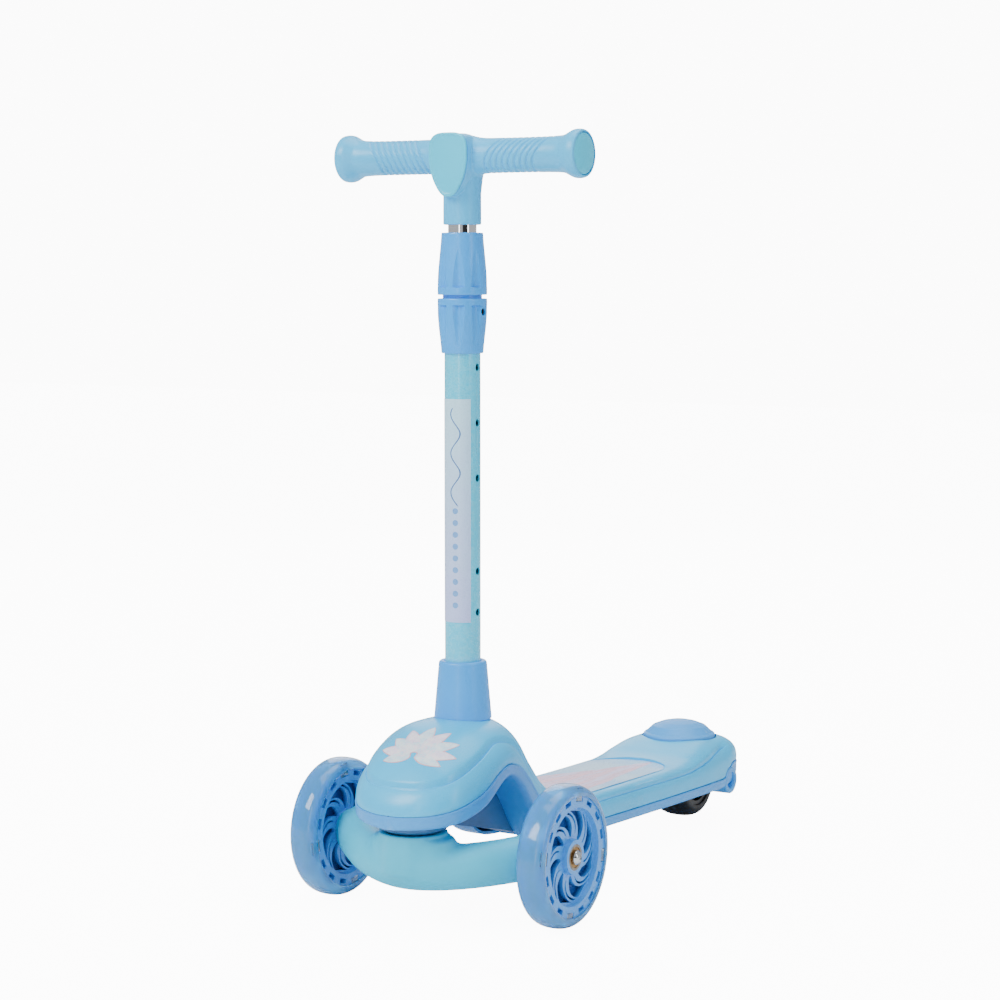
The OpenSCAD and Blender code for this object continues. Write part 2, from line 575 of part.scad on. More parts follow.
module front_beam() color([0.45, 0.8, 0.87]) difference() {
    union() {
        skin([for (i = [0 : arm_steps]) arm_ring(-arm_reach + 2 * arm_reach * i / arm_steps)]);
        for (s = [-1, 1]) translate([s * beam_end_x, front_y, front_axle_z]) rotate([0, -90 * s, 0])
            cylinder(r1 = boss_r - 1, r2 = boss_r - 2, h = boss_l);
        translate([0, kingpin_y, beam_mid_z]) cylinder(r = seat_r - 1.5, h = seat_z + 4 - beam_mid_z);
        translate([0, kingpin_y, beam_mid_z]) cylinder(r1 = seat_r + 12, r2 = seat_r - 1.5, h = seat_z - 6 - beam_mid_z);
    }
    translate(lean_c) sphere(r = seat_ball_r + seat_gap, $fn = 96);
    along_kingpin() translate([0, 0, -seat_ball_r - 33]) cylinder(r = bush_r + eps, h = 50);
    along_kingpin() translate([0, 0, -seat_ball_r - 60]) cylinder(r = kingpin_d / 2 + slide_gap, h = 50);
    along_kingpin() translate([0, 0, -seat_ball_r - 60]) cylinder(r = kingpin_d / 2 + 5, h = 60 - head_z);
    for (s = [-1, 1]) translate([s * (beam_end_x + 1), front_y, front_axle_z]) rotate([0, -90 * s, 0])
        cylinder(r = axle_r + eps, h = boss_l + 8);
}
head_z = 35;                                 // the bolt head's bearing face, below the bowl's lowest point
bush_r = kingpin_d / 2 + 2;

module kingpin_bush() color([0.85, 0.85, 0.82]) along_kingpin() translate([0, 0, -seat_ball_r - 33]) difference() {
    cylinder(r = bush_r, h = 31.5);
    translate([0, 0, -1]) cylinder(r = kingpin_d / 2 + slide_gap, h = 40);
}

spring_h = 12;
module kingpin_bolt() color([0.72, 0.73, 0.75]) along_kingpin() {
    translate([0, 0, -seat_ball_r - head_z - 1]) cylinder(r = kingpin_d / 2, h = head_z + pocket_floor + spring_h + 12);
    translate([0, 0, -seat_ball_r - head_z - 6.5]) cylinder(r = kingpin_d / 2 + 3.5, h = 6.2, $fn = 6);
}

module kingpin_nut() color([0.72, 0.73, 0.75]) along_kingpin()
    translate([0, 0, -seat_ball_r + pocket_floor + spring_h + 0.2]) difference() {
        cylinder(r = kingpin_d / 2 + 4, h = 8, $fn = 6);
        translate([0, 0, -1]) cylinder(r = kingpin_d / 2 + eps, h = 10);
    }

// A round wire wound into a coil along Z.
module coil(r, wire_r, turns, h, per_turn = 14, sides = 6) {
    n = turns * per_turn;
    skin([for (i = [0 : n]) let (a = 360 * i / per_turn, z = h * i / n)
        [for (j = [0 : sides - 1]) let (t = 360 * j / sides, q = r + wire_r * cos(t))
            [q * cos(a), q * sin(a), z - wire_r * sin(t)]]]);
}

module centring_spring() color([0.6, 0.62, 0.65]) along_kingpin()
    translate([0, 0, -seat_ball_r + pocket_floor + 1.1]) coil(kingpin_d / 2 + 3, 1, 4, spring_h - 2);

// ---------- wheels ----------
module tyre_profile(r, hw, round_r) {
    intersection() {
        translate([0, -hw]) square([r, 2 * hw]);
        union() {
            translate([0, -hw]) square([r - round_r, 2 * hw]);
            for (s = [-1, 1]) translate([r - round_r, s * (hw - round_r)]) circle(round_r);
            translate([0, -hw + round_r]) square([r, 2 * (hw - round_r)]);
        }
    }
}

light_size = [front_w - 3.4, 11, 11];                   // across the wheel, along the rim, outwards
light_in_r = rim_r - 5;
module light_box(grow = 0) {
    for (i = [0 : light_count - 1]) rotate([light_turn + 360 * i / light_count, 0, 0])
        translate([-light_size[0] / 2 - grow, -light_size[1] / 2 - grow, light_in_r - grow])
            cube([light_size[0] + 2 * grow, light_size[1] + 2 * grow, light_size[2] + 2 * grow]);
}

module front_tyre() color([0.55, 0.78, 0.97, 0.6]) difference() {
    rotate([90, 0, 90]) rotate_extrude() difference() {
        tyre_profile(front_d / 2, front_w / 2, 11);
        translate([0, -front_w]) square([rim_in_r + 3, 2 * front_w]);
        translate([0, -rim_hw - eps]) square([rim_r + eps, 2 * (rim_hw + eps)]);
    }
    light_box(fit_gap);
}

// A curved, tapering pocket between two spokes, from r_in to r_out, w wide in degrees at the outside.
module pocket(r_in, r_out, w, sweep) {
    steps = 8;
    function side(k) = [for (i = [0 : steps]) let (t = i / steps, r = r_in + (r_out - r_in) * t,
        a = sweep * t * t + k * w * (0.3 + 0.7 * sin(90 * t)) / 2) r * [cos(a), sin(a)]];
    polygon(concat(side(-1), [for (i = [steps : -1 : 0]) side(1)[i]]));
}
spoke_count = 8;
hub_web_hw = 1.5;                            // half of the web left between the pockets of both sides

module front_hub() color([0.42, 0.65, 0.93]) difference() {
    union() {
        rotate([90, 0, 90]) rotate_extrude() {
            translate([rim_in_r, -rim_hw]) square([rim_r - rim_in_r, 2 * rim_hw]);
            translate([bearing_r - 2, -hub_hw]) square([6.5, 2 * hub_hw]);
            translate([bearing_r, -6]) square([rim_in_r - bearing_r + 1, 12]);
        }
    }
    for (x = [-front_w, hub_web_hw]) rotate([90, 0, 90]) translate([0, 0, x]) linear_extrude(front_w - hub_web_hw)
        for (i = [0 : spoke_count - 1]) rotate(360 * i / spoke_count) {
            pocket(17.5, rim_in_r - 1.5, 26, 34);
            rotate(21) pocket(19.5, rim_in_r - 3, 7, 34);
        }
    rotate([90, 0, 90]) cylinder(r = bearing_r - 3, h = 60, center = true);
    for (s = [-1, 1]) translate([s * (hub_hw - bearing_w), 0, 0]) rotate([0, 90 * s, 0])
        cylinder(r = bearing_r + eps, h = 20);
    for (i = [0 : slot_count - 1]) if (i % 4 != 0) rotate([light_turn + 360 * i / slot_count, 0, 0])
        translate([-20, -4.4, rim_r - 5.2]) cube([40, 8.8, 2.8]);
    light_box(fit_gap);
}

// One ball bearing: outer ring, shield and inner ring.
module bearing() rotate([90, 0, 90]) rotate_extrude() difference() {
    translate([axle_r, -bearing_w / 2]) square([bearing_r - axle_r, bearing_w]);
    for (s = [-1, 1]) translate([axle_r + 2.2, s * bearing_w / 2 - 0.5]) square([2.6, 1]);
}

module bearing_pair(hw) color([0.7, 0.6, 0.42]) for (s = [-1, 1]) translate([s * (hw - bearing_w / 2), 0, 0]) bearing();

module wheel_spacer(hw) color([0.3, 0.3, 0.32]) rotate([90, 0, 90]) difference() {
    cylinder(r = bearing_r - 4, h = 2 * (hw - bearing_w) - 0.1, center = true);
    cylinder(r = axle_r + slide_gap, h = 2 * hw, center = true);
}

module front_lights() color([0.9, 0.95, 1]) light_box();

module at_front(s) translate([s * track_w / 2, front_y, front_axle_z]) children();

module front_axle(s) color([0.85, 0.86, 0.88]) translate([s * track_w / 2, front_y, front_axle_z])
    rotate([0, 90 * s, 0]) {
        translate([0, 0, -front_w / 2 - boss_l + 3]) cylinder(r = axle_r - slide_gap / 2, h = front_w + boss_l - 4);
        translate([0, 0, hub_hw + 0.1]) cylinder(r = 6, h = 1.4);
        translate([0, 0, hub_hw + 1.5]) difference() {
            intersection() {
                translate([0, 0, -3]) sphere(r = 6.7);
                translate([0, 0, -0.5]) cylinder(r = 5.9, h = 6);
            }
            translate([0, 0, 1.6]) cylinder(r = 2.3, h = 5, $fn = 6);
        }
    }

module axle_washer(s) color([0.12, 0.12, 0.13]) translate([s * (beam_end_x + 0.1), front_y, front_axle_z])
    rotate([0, 90 * s, 0]) difference() {
        cylinder(r = 7, h = front_w / 2 - hub_hw + 2.8);
        translate([0, 0, -1]) cylinder(r = axle_r + slide_gap, h = 10);
    }

module at_rear() translate([0, rear_y, rear_axle_z]) children();

module rear_tyre() color([0.06, 0.06, 0.07]) at_rear() rotate([90, 0, 90]) rotate_extrude() difference() {
    tyre_profile(rear_d / 2, rear_w / 2, 13);
    translate([0, -rear_w]) square([rear_hub_r, 2 * rear_w]);
}

module rear_hub() color([0.1, 0.1, 0.11]) at_rear() difference() {
    rotate([90, 0, 90]) rotate_extrude() {
        translate([rear_hub_r - 4, -rear_w / 2 + 2]) square([4 - eps, rear_w - 4]);
        translate([bearing_r - 2, -rear_boss_hw]) square([6, 2 * rear_boss_hw]);
        translate([bearing_r + 2, -5]) square([rear_hub_r - bearing_r - 4, 10]);
    }
    for (s = [-1, 1]) translate([s * (rear_boss_hw - bearing_w), 0, 0]) rotate([0, 90 * s, 0])
        cylinder(r = bearing_r + eps, h = 20);
    for (i = [0 : 5]) rotate([60 * i, 0, 0]) translate([0, 0, 19.5]) rotate([0, 90, 0]) cylinder(r = 3, h = 60, center = true);
}

axle_seat_x = eyelet_x - 10;                 // floor of the eyelets' bores
module rear_axle() color([0.7, 0.71, 0.73]) at_rear() {
    rotate([0, 90, 0]) cylinder(r = axle_r - slide_gap / 2, h = 2 * axle_seat_x + 6, center = true);
    translate([axle_seat_x + eps, 0, 0]) rotate([0, 90, 0]) cylinder(r = 6.5, h = 4);
}

module rear_axle_nut() color([0.7, 0.71, 0.73]) at_rear() translate([-axle_seat_x - eps, 0, 0]) rotate([0, -90, 0])
    difference() {
        cylinder(r = 6.8, h = 5, $fn = 6);
        translate([0, 0, -1]) cylinder(r = axle_r + eps, h = 8);
    }

// Spacing washers between the rear wheel's bearings and the eyelets.
module rear_washers() color([0.3, 0.3, 0.32]) at_rear() for (s = [-1, 1])
    translate([s * (rear_boss_hw + 0.1), 0, 0]) rotate([0, 90 * s, 0]) difference() {
        cylinder(r = 6.5, h = well_hw - rear_boss_hw - 0.2);
        translate([0, 0, -1]) cylinder(r = axle_r + slide_gap, h = 10);
    }

// ---------- brake ----------
arm_hw = 14;                                 // half width of the pedal's arm
module brake_pedal() color([0.45, 0.68, 0.95]) difference() {
    union() {
        translate([0, pedal_y, pedal_low_z]) rotate_extrude() difference() {
            polygon([[0, 0], [pedal_r, 0], [pedal_r, 5.5], [pedal_r - 1, 6.6], [pedal_r - 3.2, 7.4], [pedal_r - 4, 8.4],
                [pedal_r * 0.74, 13.6], [pedal_r * 0.5, 17], [pedal_r * 0.25, 18.9], [0, 19.4]]);
            polygon([[0, -1], [pedal_r - 3, -1], [pedal_r - 3, 3], [pedal_r - 7, 6], [pedal_r * 0.7, 11], [0, 15.5]]);
        }
        difference() {
            union() {
                translate([-arm_hw, pivot_y, pivot_z - 4]) cube([2 * arm_hw, 24, 8]);
                translate([-arm_hw, pedal_y - pedal_r + 3.2, pivot_z - 4]) cube([2 * arm_hw, 7, pedal_low_z + 4 - pivot_z + 4]);
                translate([-arm_hw + 3, rear_y - 9, pedal_low_z + 1]) cube([2 * arm_hw - 6, 18, 14]);
            }
            translate([0, rear_y, rear_axle_z]) rotate([0, 90, 0])
                cylinder(r = rear_d / 2 + shoe_gap + 2, h = rear_w + 6, center = true);
        }
        translate([0, pivot_y, pivot_z]) rotate([0, 90, 0]) cylinder(r = 5, h = 2 * arm_hw + 2, center = true);
    }
    translate([0, pivot_y, pivot_z]) rotate([0, 90, 0]) cylinder(r = pivot_r + slide_gap, h = 60, center = true);
}
shoe_len = 26;

module brake_shoe() color([0.6, 0.61, 0.63]) intersection() {
    translate([0, rear_y, rear_axle_z]) rotate([90, 0, 90]) difference() {
        cylinder(r = rear_d / 2 + shoe_gap + 2 - eps, h = rear_w - 8, center = true);
        cylinder(r = rear_d / 2 + shoe_gap, h = rear_w, center = true);
    }
    translate([-rear_w, rear_y - shoe_len / 2, rear_axle_z]) cube([2 * rear_w, shoe_len, rear_d]);
}

module brake_pin() color([0.7, 0.71, 0.73]) translate([0, pivot_y, pivot_z]) rotate([0, 90, 0])
    cylinder(r = pivot_r, h = 44, center = true);

module brake_spring() color([0.6, 0.62, 0.65]) translate([arm_hw + 1.8, pivot_y, pivot_z]) rotate([0, 90, 0])
    coil(pivot_r + 1.5, 0.5, 2, 2.4);

// ---------- what is drawn ----------
deck_top_shell();
deck_bottom_shell();
neck_frame();
deck_screws();
deck_sticker();
base_collar();
outer_tube();
tube_label();
fixed_collar();
clamp_collet();
clamp_nut();
inner_tube();
guide_bush();
button_spring();
height_button();
t_bar();
t_bar_badge();
end_cap(1);  // end_cap_left
end_cap(-1);  // end_cap_right
t_bar_rivet();
front_beam();
kingpin_bush();
kingpin_bolt();
kingpin_nut();
centring_spring();
front_axle(1);  // front_axle_left
front_axle(-1);  // front_axle_right
axle_washer(1);  // axle_washer_left
axle_washer(-1);  // axle_washer_right
at_front(1) front_tyre();  // front_tyre_left
at_front(1) front_hub();  // front_hub_left
at_front(1) bearing_pair(hub_hw);  // front_bearings_left
at_front(1) wheel_spacer(hub_hw);  // front_spacer_left
at_front(1) front_lights();  // front_lights_left
at_front(-1) front_tyre();  // front_tyre_right
at_front(-1) front_hub();  // front_hub_right
at_front(-1) bearing_pair(hub_hw);  // front_bearings_right
at_front(-1) wheel_spacer(hub_hw);  // front_spacer_right
at_front(-1) front_lights();  // front_lights_right
rear_tyre();
rear_hub();
at_rear() bearing_pair(rear_boss_hw);  // rear_bearings
at_rear() wheel_spacer(rear_boss_hw);  // rear_spacer
rear_axle();
rear_axle_nut();
rear_washers();
brake_pedal();
brake_shoe();
brake_pin();
brake_spring();
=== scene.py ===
import math

import bmesh
import bpy
import numpy as np
from mathutils import Matrix, Vector
from mathutils.bvhtree import BVHTree


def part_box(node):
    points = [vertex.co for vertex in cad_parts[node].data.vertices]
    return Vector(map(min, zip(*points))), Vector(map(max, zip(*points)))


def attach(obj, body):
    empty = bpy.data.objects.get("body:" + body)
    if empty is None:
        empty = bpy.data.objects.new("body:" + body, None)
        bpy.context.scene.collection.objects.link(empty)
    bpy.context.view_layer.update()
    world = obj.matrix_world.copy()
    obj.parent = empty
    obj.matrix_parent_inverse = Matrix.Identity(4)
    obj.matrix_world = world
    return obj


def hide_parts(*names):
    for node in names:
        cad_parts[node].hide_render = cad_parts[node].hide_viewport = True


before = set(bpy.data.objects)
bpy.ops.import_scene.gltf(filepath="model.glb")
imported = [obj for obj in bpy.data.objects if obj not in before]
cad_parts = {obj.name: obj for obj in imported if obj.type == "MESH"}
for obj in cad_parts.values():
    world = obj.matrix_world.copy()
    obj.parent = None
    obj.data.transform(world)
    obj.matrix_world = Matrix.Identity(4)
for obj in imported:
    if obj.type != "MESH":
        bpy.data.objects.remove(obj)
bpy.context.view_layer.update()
mm = 0.001


# places, in mm, from the frame

def middle(node):
    low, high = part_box(node)
    return (low + high) / 2 / mm


def corners(node):
    return [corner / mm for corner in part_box(node)]


frontAxle = middle("front_spacer_left")
rearAxle = middle("rear_spacer")
stemY = middle("outer_tube").y
frontY = frontAxle.y
rearY = rearAxle.y
noseY = corners("deck_top_shell")[0].y
tailY = corners("deck_top_shell")[1].y
domeZ = corners("base_collar")[0].z + 2.5
pedalY = middle("brake_pedal").y + 7
barZ = middle("end_cap_left").z
print("places: nose", round(noseY, 1), "front axle", round(frontY, 1), "rear axle", round(rearY, 1),
      "tail", round(tailY, 1), "dome", round(domeZ, 1), "bar", round(barZ, 1))


# camera, floor and lights

cameraSet = {"place": (1.13507, frontY * mm - 1.81466, 0.54789), "azimuth": 30.843, "elevation": 5.28, "lens": 92.218}


def makeCamera():
    azimuth = math.radians(cameraSet["azimuth"])
    elevation = math.radians(cameraSet["elevation"])
    level = math.cos(elevation)
    back = Vector((math.sin(azimuth) * level, -math.cos(azimuth) * level, math.sin(elevation)))
    camera = bpy.data.objects.new("camera", bpy.data.cameras.new("camera"))
    camera.data.lens = cameraSet["lens"]
    camera.data.sensor_width = 36
    camera.data.clip_end = 50
    camera.location = cameraSet["place"]
    camera.rotation_euler = back.to_track_quat("Z", "Y").to_euler()
    bpy.context.scene.collection.objects.link(camera)
    bpy.context.scene.camera = camera


studio = {
    # name: (where from, size, power, warmth)
    "keyPanel": ((-0.9, -2.3, 2.2), (1.3, 1.3), 74, (1.0, 0.99, 0.97)),
    "sidePanel": ((2.6, -0.6, 1.3), (0.5, 2.0), 14, (0.97, 0.985, 1.0)),
    "topPanel": ((0.1, 0.3, 2.6), (2.0, 2.0), 38, (1.0, 1.0, 1.0)),
    "backPanel": ((-1.3, 2.2, 1.4), (1.4, 1.6), 14, (0.98, 0.99, 1.0)),
    "frontStrip": ((0.35, -2.6, 0.9), (0.22, 1.9), 9, (1.0, 1.0, 1.0)),
}


airSet = {"open": 0.64, "dark": 0.04, "darkSide": (0.82, -0.57, 0.0), "darkFrom": 0.9, "darkFull": 0.96,
          "tint": (0.95, 0.97, 1.0, 1), "backdrop": 14, "floorGlow": 11}


def makeStudio():
    aim = Vector((0, 0, 0.3))
    for name, (place, size, power, warmth) in studio.items():
        light = bpy.data.lights.new(name, "AREA")
        light.shape = "RECTANGLE"
        light.size, light.size_y = size
        light.energy = power
        light.color = warmth
        lamp = bpy.data.objects.new(name, light)
        lamp.location = place
        lamp.rotation_euler = (Vector(place) - aim).to_track_quat("Z", "Y").to_euler()
        bpy.context.scene.collection.objects.link(lamp)
    world = bpy.data.worlds.new("studioAir")
    world.use_nodes = True
    air = world.node_tree
    soft = air.nodes["Background"]
    soft.inputs["Color"].default_value = airSet["tint"]
    spot = air.nodes.new("ShaderNodeTexCoord")
    facing = air.nodes.new("ShaderNodeVectorMath")
    facing.operation = "DOT_PRODUCT"
    facing.inputs[1].default_value = airSet["darkSide"]
    air.links.new(spot.outputs["Generated"], facing.inputs[0])
    band = air.nodes.new("ShaderNodeMapRange")
    band.interpolation_type = "SMOOTHSTEP"
    for socket, name in zip(band.inputs[1:5], ("darkFrom", "darkFull", "open", "dark")):
        socket.default_value = airSet[name]
    air.links.new(facing.outputs["Value"], band.inputs[0])
    air.links.new(band.outputs[0], soft.inputs["Strength"])
    backdrop = air.nodes.new("ShaderNodeBackground")
    backdrop.inputs["Strength"].default_value = airSet["backdrop"]
    chosen = air.nodes.new("ShaderNodeMixShader")
    air.links.new(air.nodes.new("ShaderNodeLightPath").outputs["Is Camera Ray"], chosen.inputs[0])
    air.links.new(soft.outputs[0], chosen.inputs[1])
    air.links.new(backdrop.outputs[0], chosen.inputs[2])
    air.links.new(chosen.outputs[0], air.nodes["World Output"].inputs["Surface"])
    bpy.context.scene.world = world
    bpy.ops.mesh.primitive_plane_add(size=14, location=(0, 0, -0.0004))
    floor = bpy.context.object
    floor.name = "studio_floor"
    paper = bpy.data.materials.new("paleFloor")
    paper.use_nodes = True
    shader = paper.node_tree.nodes["Principled BSDF"]
    shader.inputs["Base Color"].default_value = (0.9, 0.91, 0.92, 1)
    shader.inputs["Roughness"].default_value = 0.75
    # the paper glows towards the camera, so that the floor stays white
    shader.inputs["Emission Color"].default_value = (1, 1, 1, 1)
    seen = paper.node_tree.nodes.new("ShaderNodeLightPath").outputs["Is Camera Ray"]
    glow = paper.node_tree.nodes.new("ShaderNodeMath")
    glow.operation = "MULTIPLY"
    glow.inputs[1].default_value = airSet["floorGlow"]
    paper.node_tree.links.new(seen, glow.inputs[0])
    paper.node_tree.links.new(glow.outputs[0], shader.inputs["Emission Strength"])
    floor.data.materials.append(paper)


makeCamera()
makeStudio()
print("camera and studio ready")


# shader groups

def tone(code):
    channels = [int(code[i:i + 2], 16) / 255 for i in (0, 2, 4)]
    return tuple(c / 12.92 if c <= 0.04045 else ((c + 0.055) / 1.055) ** 2.4 for c in channels) + (1,)


def startGroup(name, inputs, outputs):
    group = bpy.data.node_groups.new(name, "ShaderNodeTree")
    for label, kind, value in inputs:
        group.interface.new_socket(label, in_out="INPUT", socket_type=kind).default_value = value
    for label, kind in outputs:
        group.interface.new_socket(label, in_out="OUTPUT", socket_type=kind)
    return group, group.nodes.new("NodeGroupInput"), group.nodes.new("NodeGroupOutput")


def link(tree, start, end):
    tree.links.new(start, end)


def mathNode(tree, operation, first, second=None, third=None):
    node = tree.nodes.new("ShaderNodeMath")
    node.operation = operation
    for socket, value in zip(node.inputs, (first, second, third)):
        if value is None:
            continue
        if isinstance(value, (int, float)):
            socket.default_value = value
        else:
            link(tree, value, socket)
    return node.outputs[0]


def mixColour(tree, share, first, second, blend="MIX"):
    node = tree.nodes.new("ShaderNodeMix")
    node.data_type = "RGBA"
    node.blend_type = blend
    for socket, value in ((node.inputs[0], share), (node.inputs[6], first), (node.inputs[7], second)):
        if isinstance(value, (int, float, tuple)):
            socket.default_value = value
        else:
            link(tree, value, socket)
    return node.outputs[2]


def ramp(tree, value, low, high, outLow=0.0, outHigh=1.0, smooth=True):
    node = tree.nodes.new("ShaderNodeMapRange")
    node.interpolation_type = "SMOOTHSTEP" if smooth else "LINEAR"
    for socket, given in zip(node.inputs, (value, low, high, outLow, outHigh)):
        if isinstance(given, (int, float)):
            socket.default_value = given
        else:
            link(tree, given, socket)
    return node.outputs[0]


def noise(tree, vector, scale, detail=3.0, rough=0.5):
    node = tree.nodes.new("ShaderNodeTexNoise")
    node.inputs["Detail"].default_value = detail
    node.inputs["Roughness"].default_value = rough
    if isinstance(scale, (int, float)):
        node.inputs["Scale"].default_value = scale
    else:
        link(tree, scale, node.inputs["Scale"])
    link(tree, vector, node.inputs["Vector"])
    return node.outputs[0]


def place3(tree):
    return tree.nodes.new("ShaderNodeTexCoord").outputs["Object"]


def buildMouldedSkin():
    # tone drift, fine tool texture and a gloss that varies with both
    group, entry, leave = startGroup(
        "mouldedSkin",
        [("Colour", "NodeSocketColor", (0.5, 0.5, 0.5, 1)), ("Drift", "NodeSocketFloat", 0.05),
         ("Grain Scale", "NodeSocketFloat", 2200.0), ("Gloss Low", "NodeSocketFloat", 0.3),
         ("Gloss High", "NodeSocketFloat", 0.4)],
        [("Colour", "NodeSocketColor"), ("Roughness", "NodeSocketFloat"), ("Height", "NodeSocketFloat")])
    at = place3(group)
    slow = noise(group, at, 16.0, 2.0)
    fine = noise(group, at, entry.outputs["Grain Scale"], 2.0)
    level = mathNode(group, "MULTIPLY_ADD", ramp(group, slow, 0.3, 0.7, -1.0, 1.0), entry.outputs["Drift"], 1.0)
    hue = group.nodes.new("ShaderNodeHueSaturation")
    link(group, level, hue.inputs["Value"])
    link(group, entry.outputs["Colour"], hue.inputs["Color"])
    link(group, hue.outputs[0], leave.inputs["Colour"])
    gloss = mathNode(group, "ADD", mathNode(group, "MULTIPLY", slow, 0.6), mathNode(group, "MULTIPLY", fine, 0.4))
    link(group, ramp(group, gloss, 0.35, 0.65, entry.outputs["Gloss Low"], entry.outputs["Gloss High"]),
         leave.inputs["Roughness"])
    link(group, fine, leave.inputs["Height"])
    return group


def buildEdgeRub():
    # the sharp edges, rubbed lighter by handling
    group, entry, leave = startGroup(
        "edgeRub",
        [("Colour", "NodeSocketColor", (0.5, 0.5, 0.5, 1)), ("Rubbed", "NodeSocketColor", (1, 1, 1, 1)),
         ("Amount", "NodeSocketFloat", 0.3)],
        [("Colour", "NodeSocketColor"), ("Mask", "NodeSocketFloat")])
    bend = group.nodes.new("ShaderNodeNewGeometry").outputs["Pointiness"]
    edge = ramp(group, bend, 0.56, 0.66)
    broken = ramp(group, noise(group, place3(group), 240.0, 3.0), 0.35, 0.62)
    mask = mathNode(group, "MULTIPLY", mathNode(group, "MULTIPLY", edge, broken), entry.outputs["Amount"])
    link(group, mixColour(group, mask, entry.outputs["Colour"], entry.outputs["Rubbed"]), leave.inputs["Colour"])
    link(group, mask, leave.inputs["Mask"])
    return group


def buildToolMarks():
    # fine turning and polishing lines on metal
    group, entry, leave = startGroup(
        "toolMarks",
        [("Stretch", "NodeSocketVector", (40.0, 40.0, 900.0)), ("Gloss Low", "NodeSocketFloat", 0.1),
         ("Gloss High", "NodeSocketFloat", 0.25)],
        [("Roughness", "NodeSocketFloat"), ("Height", "NodeSocketFloat")])
    scaled = group.nodes.new("ShaderNodeVectorMath")
    scaled.operation = "MULTIPLY"
    link(group, place3(group), scaled.inputs[0])
    link(group, entry.outputs["Stretch"], scaled.inputs[1])
    lines = noise(group, scaled.outputs[0], 1.0, 4.0, 0.6)
    link(group, ramp(group, lines, 0.3, 0.7, entry.outputs["Gloss Low"], entry.outputs["Gloss High"]),
         leave.inputs["Roughness"])
    link(group, lines, leave.inputs["Height"])
    return group


mouldedSkin = buildMouldedSkin()
edgeRub = buildEdgeRub()
toolMarks = buildToolMarks()


def useGroup(tree, group, **values):
    node = tree.nodes.new("ShaderNodeGroup")
    node.node_tree = group
    for label, value in values.items():
        socket = node.inputs[label.replace("_", " ")]
        if isinstance(value, bpy.types.NodeSocket):
            link(tree, value, socket)
        else:
            socket.default_value = value
    return node


def startMaterial(name, **sockets):
    material = bpy.data.materials.new(name)
    material.use_nodes = True
    tree = material.node_tree
    shader = tree.nodes["Principled BSDF"]
    for label, value in sockets.items():
        shader.inputs[label.replace("_", " ")].default_value = value
    return material, tree, shader


def addBump(tree, shader, height, depth, strength=0.5):
    bump = tree.nodes.new("ShaderNodeBump")
    bump.inputs["Strength"].default_value = strength
    bump.inputs["Distance"].default_value = depth
    link(tree, height, bump.inputs["Height"])
    link(tree, bump.outputs[0], shader.inputs["Normal"])


# materials

plastics = {
    # name: colour, rubbed colour, gloss low and high, tone drift, grain scale, grain depth, coat
    "aquaShell": ("1DC0F9", "B4ECFF", 0.26, 0.36, 0.03, 1500.0, 0.00003, 0.12),
    "blueCollar": ("27A4F9", "A8D6FF", 0.28, 0.38, 0.03, 1800.0, 0.00003, 0.1),
    "blueShell": ("38A0ED", "A8CFF6", 0.32, 0.44, 0.03, 1500.0, 0.00004, 0.0),
    "beamAqua": ("27C3E6", "9ADDEC", 0.42, 0.55, 0.04, 900.0, 0.00008, 0.0),
    "barBlue": ("3ABFF8", "B6E3FF", 0.3, 0.42, 0.03, 1600.0, 0.00003, 0.06),
    "brightCyan": ("22CFF4", "BDF5FF", 0.3, 0.4, 0.02, 1700.0, 0.00003, 0.08),
    # painted shade: the frame colour on the next row is the shell's blue darkened, as the web sits in shadow under
    # the arch
    "frameShadedBlue": ("2F6C9E", "5C90BC", 0.42, 0.56, 0.05, 1200.0, 0.00005, 0.0),
    "whiteNylon": ("D8DAD6", "F0F0EE", 0.4, 0.5, 0.02, 1500.0, 0.00003, 0.0),
    # the next row is black nylon on most parts, and painted shade on the clamp collet and the plug in the fixed
    # collar's hole
    "blackNylon": ("17181A", "3A3C40", 0.38, 0.52, 0.15, 1400.0, 0.00004, 0.0),
}


def makePlastic(name):
    colour, rubbed, glossLow, glossHigh, drift, grain, depth, coat = plastics[name]
    material, tree, shader = startMaterial(name, Coat_Weight=coat, Coat_Roughness=0.12)
    skin = useGroup(tree, mouldedSkin, Colour=tone(colour), Drift=drift, Grain_Scale=grain,
                    Gloss_Low=glossLow, Gloss_High=glossHigh)
    rub = useGroup(tree, edgeRub, Colour=skin.outputs["Colour"], Rubbed=tone(rubbed), Amount=0.35)
    link(tree, rub.outputs["Colour"], shader.inputs["Base Color"])
    link(tree, skin.outputs["Roughness"], shader.inputs["Roughness"])
    addBump(tree, shader, skin.outputs["Height"], depth)
    return material


def makeWheelBlue():
    # painted shade: a darker blue down in the pockets than on the faces
    material, tree, shader = startMaterial("wheelBlue", Coat_Weight=0.15, Coat_Roughness=0.12)
    skin = useGroup(tree, mouldedSkin, Colour=tone("46A2F4"), Drift=0.04, Grain_Scale=1300.0, Gloss_Low=0.22,
                    Gloss_High=0.34)
    parts = tree.nodes.new("ShaderNodeSeparateXYZ")
    link(tree, place3(tree), parts.inputs[0])
    out = mathNode(tree, "ABSOLUTE", parts.outputs["X"])
    aside = mathNode(tree, "ABSOLUTE", mathNode(tree, "SUBTRACT", out, abs(middle("front_hub_left").x) * mm))
    # painted shade mask: full within 1.5 mm of the hub's middle plane, gone 6.8 mm out towards the faces
    deep = ramp(tree, aside, 0.0015, 0.0068, 1.0, 0.0)
    colour = mixColour(tree, deep, skin.outputs["Colour"], tone("174A92"))
    rub = useGroup(tree, edgeRub, Colour=colour, Rubbed=tone("9CD0FC"), Amount=0.3)
    link(tree, rub.outputs["Colour"], shader.inputs["Base Color"])
    link(tree, skin.outputs["Roughness"], shader.inputs["Roughness"])
    addBump(tree, shader, skin.outputs["Height"], 0.00002)
    return material


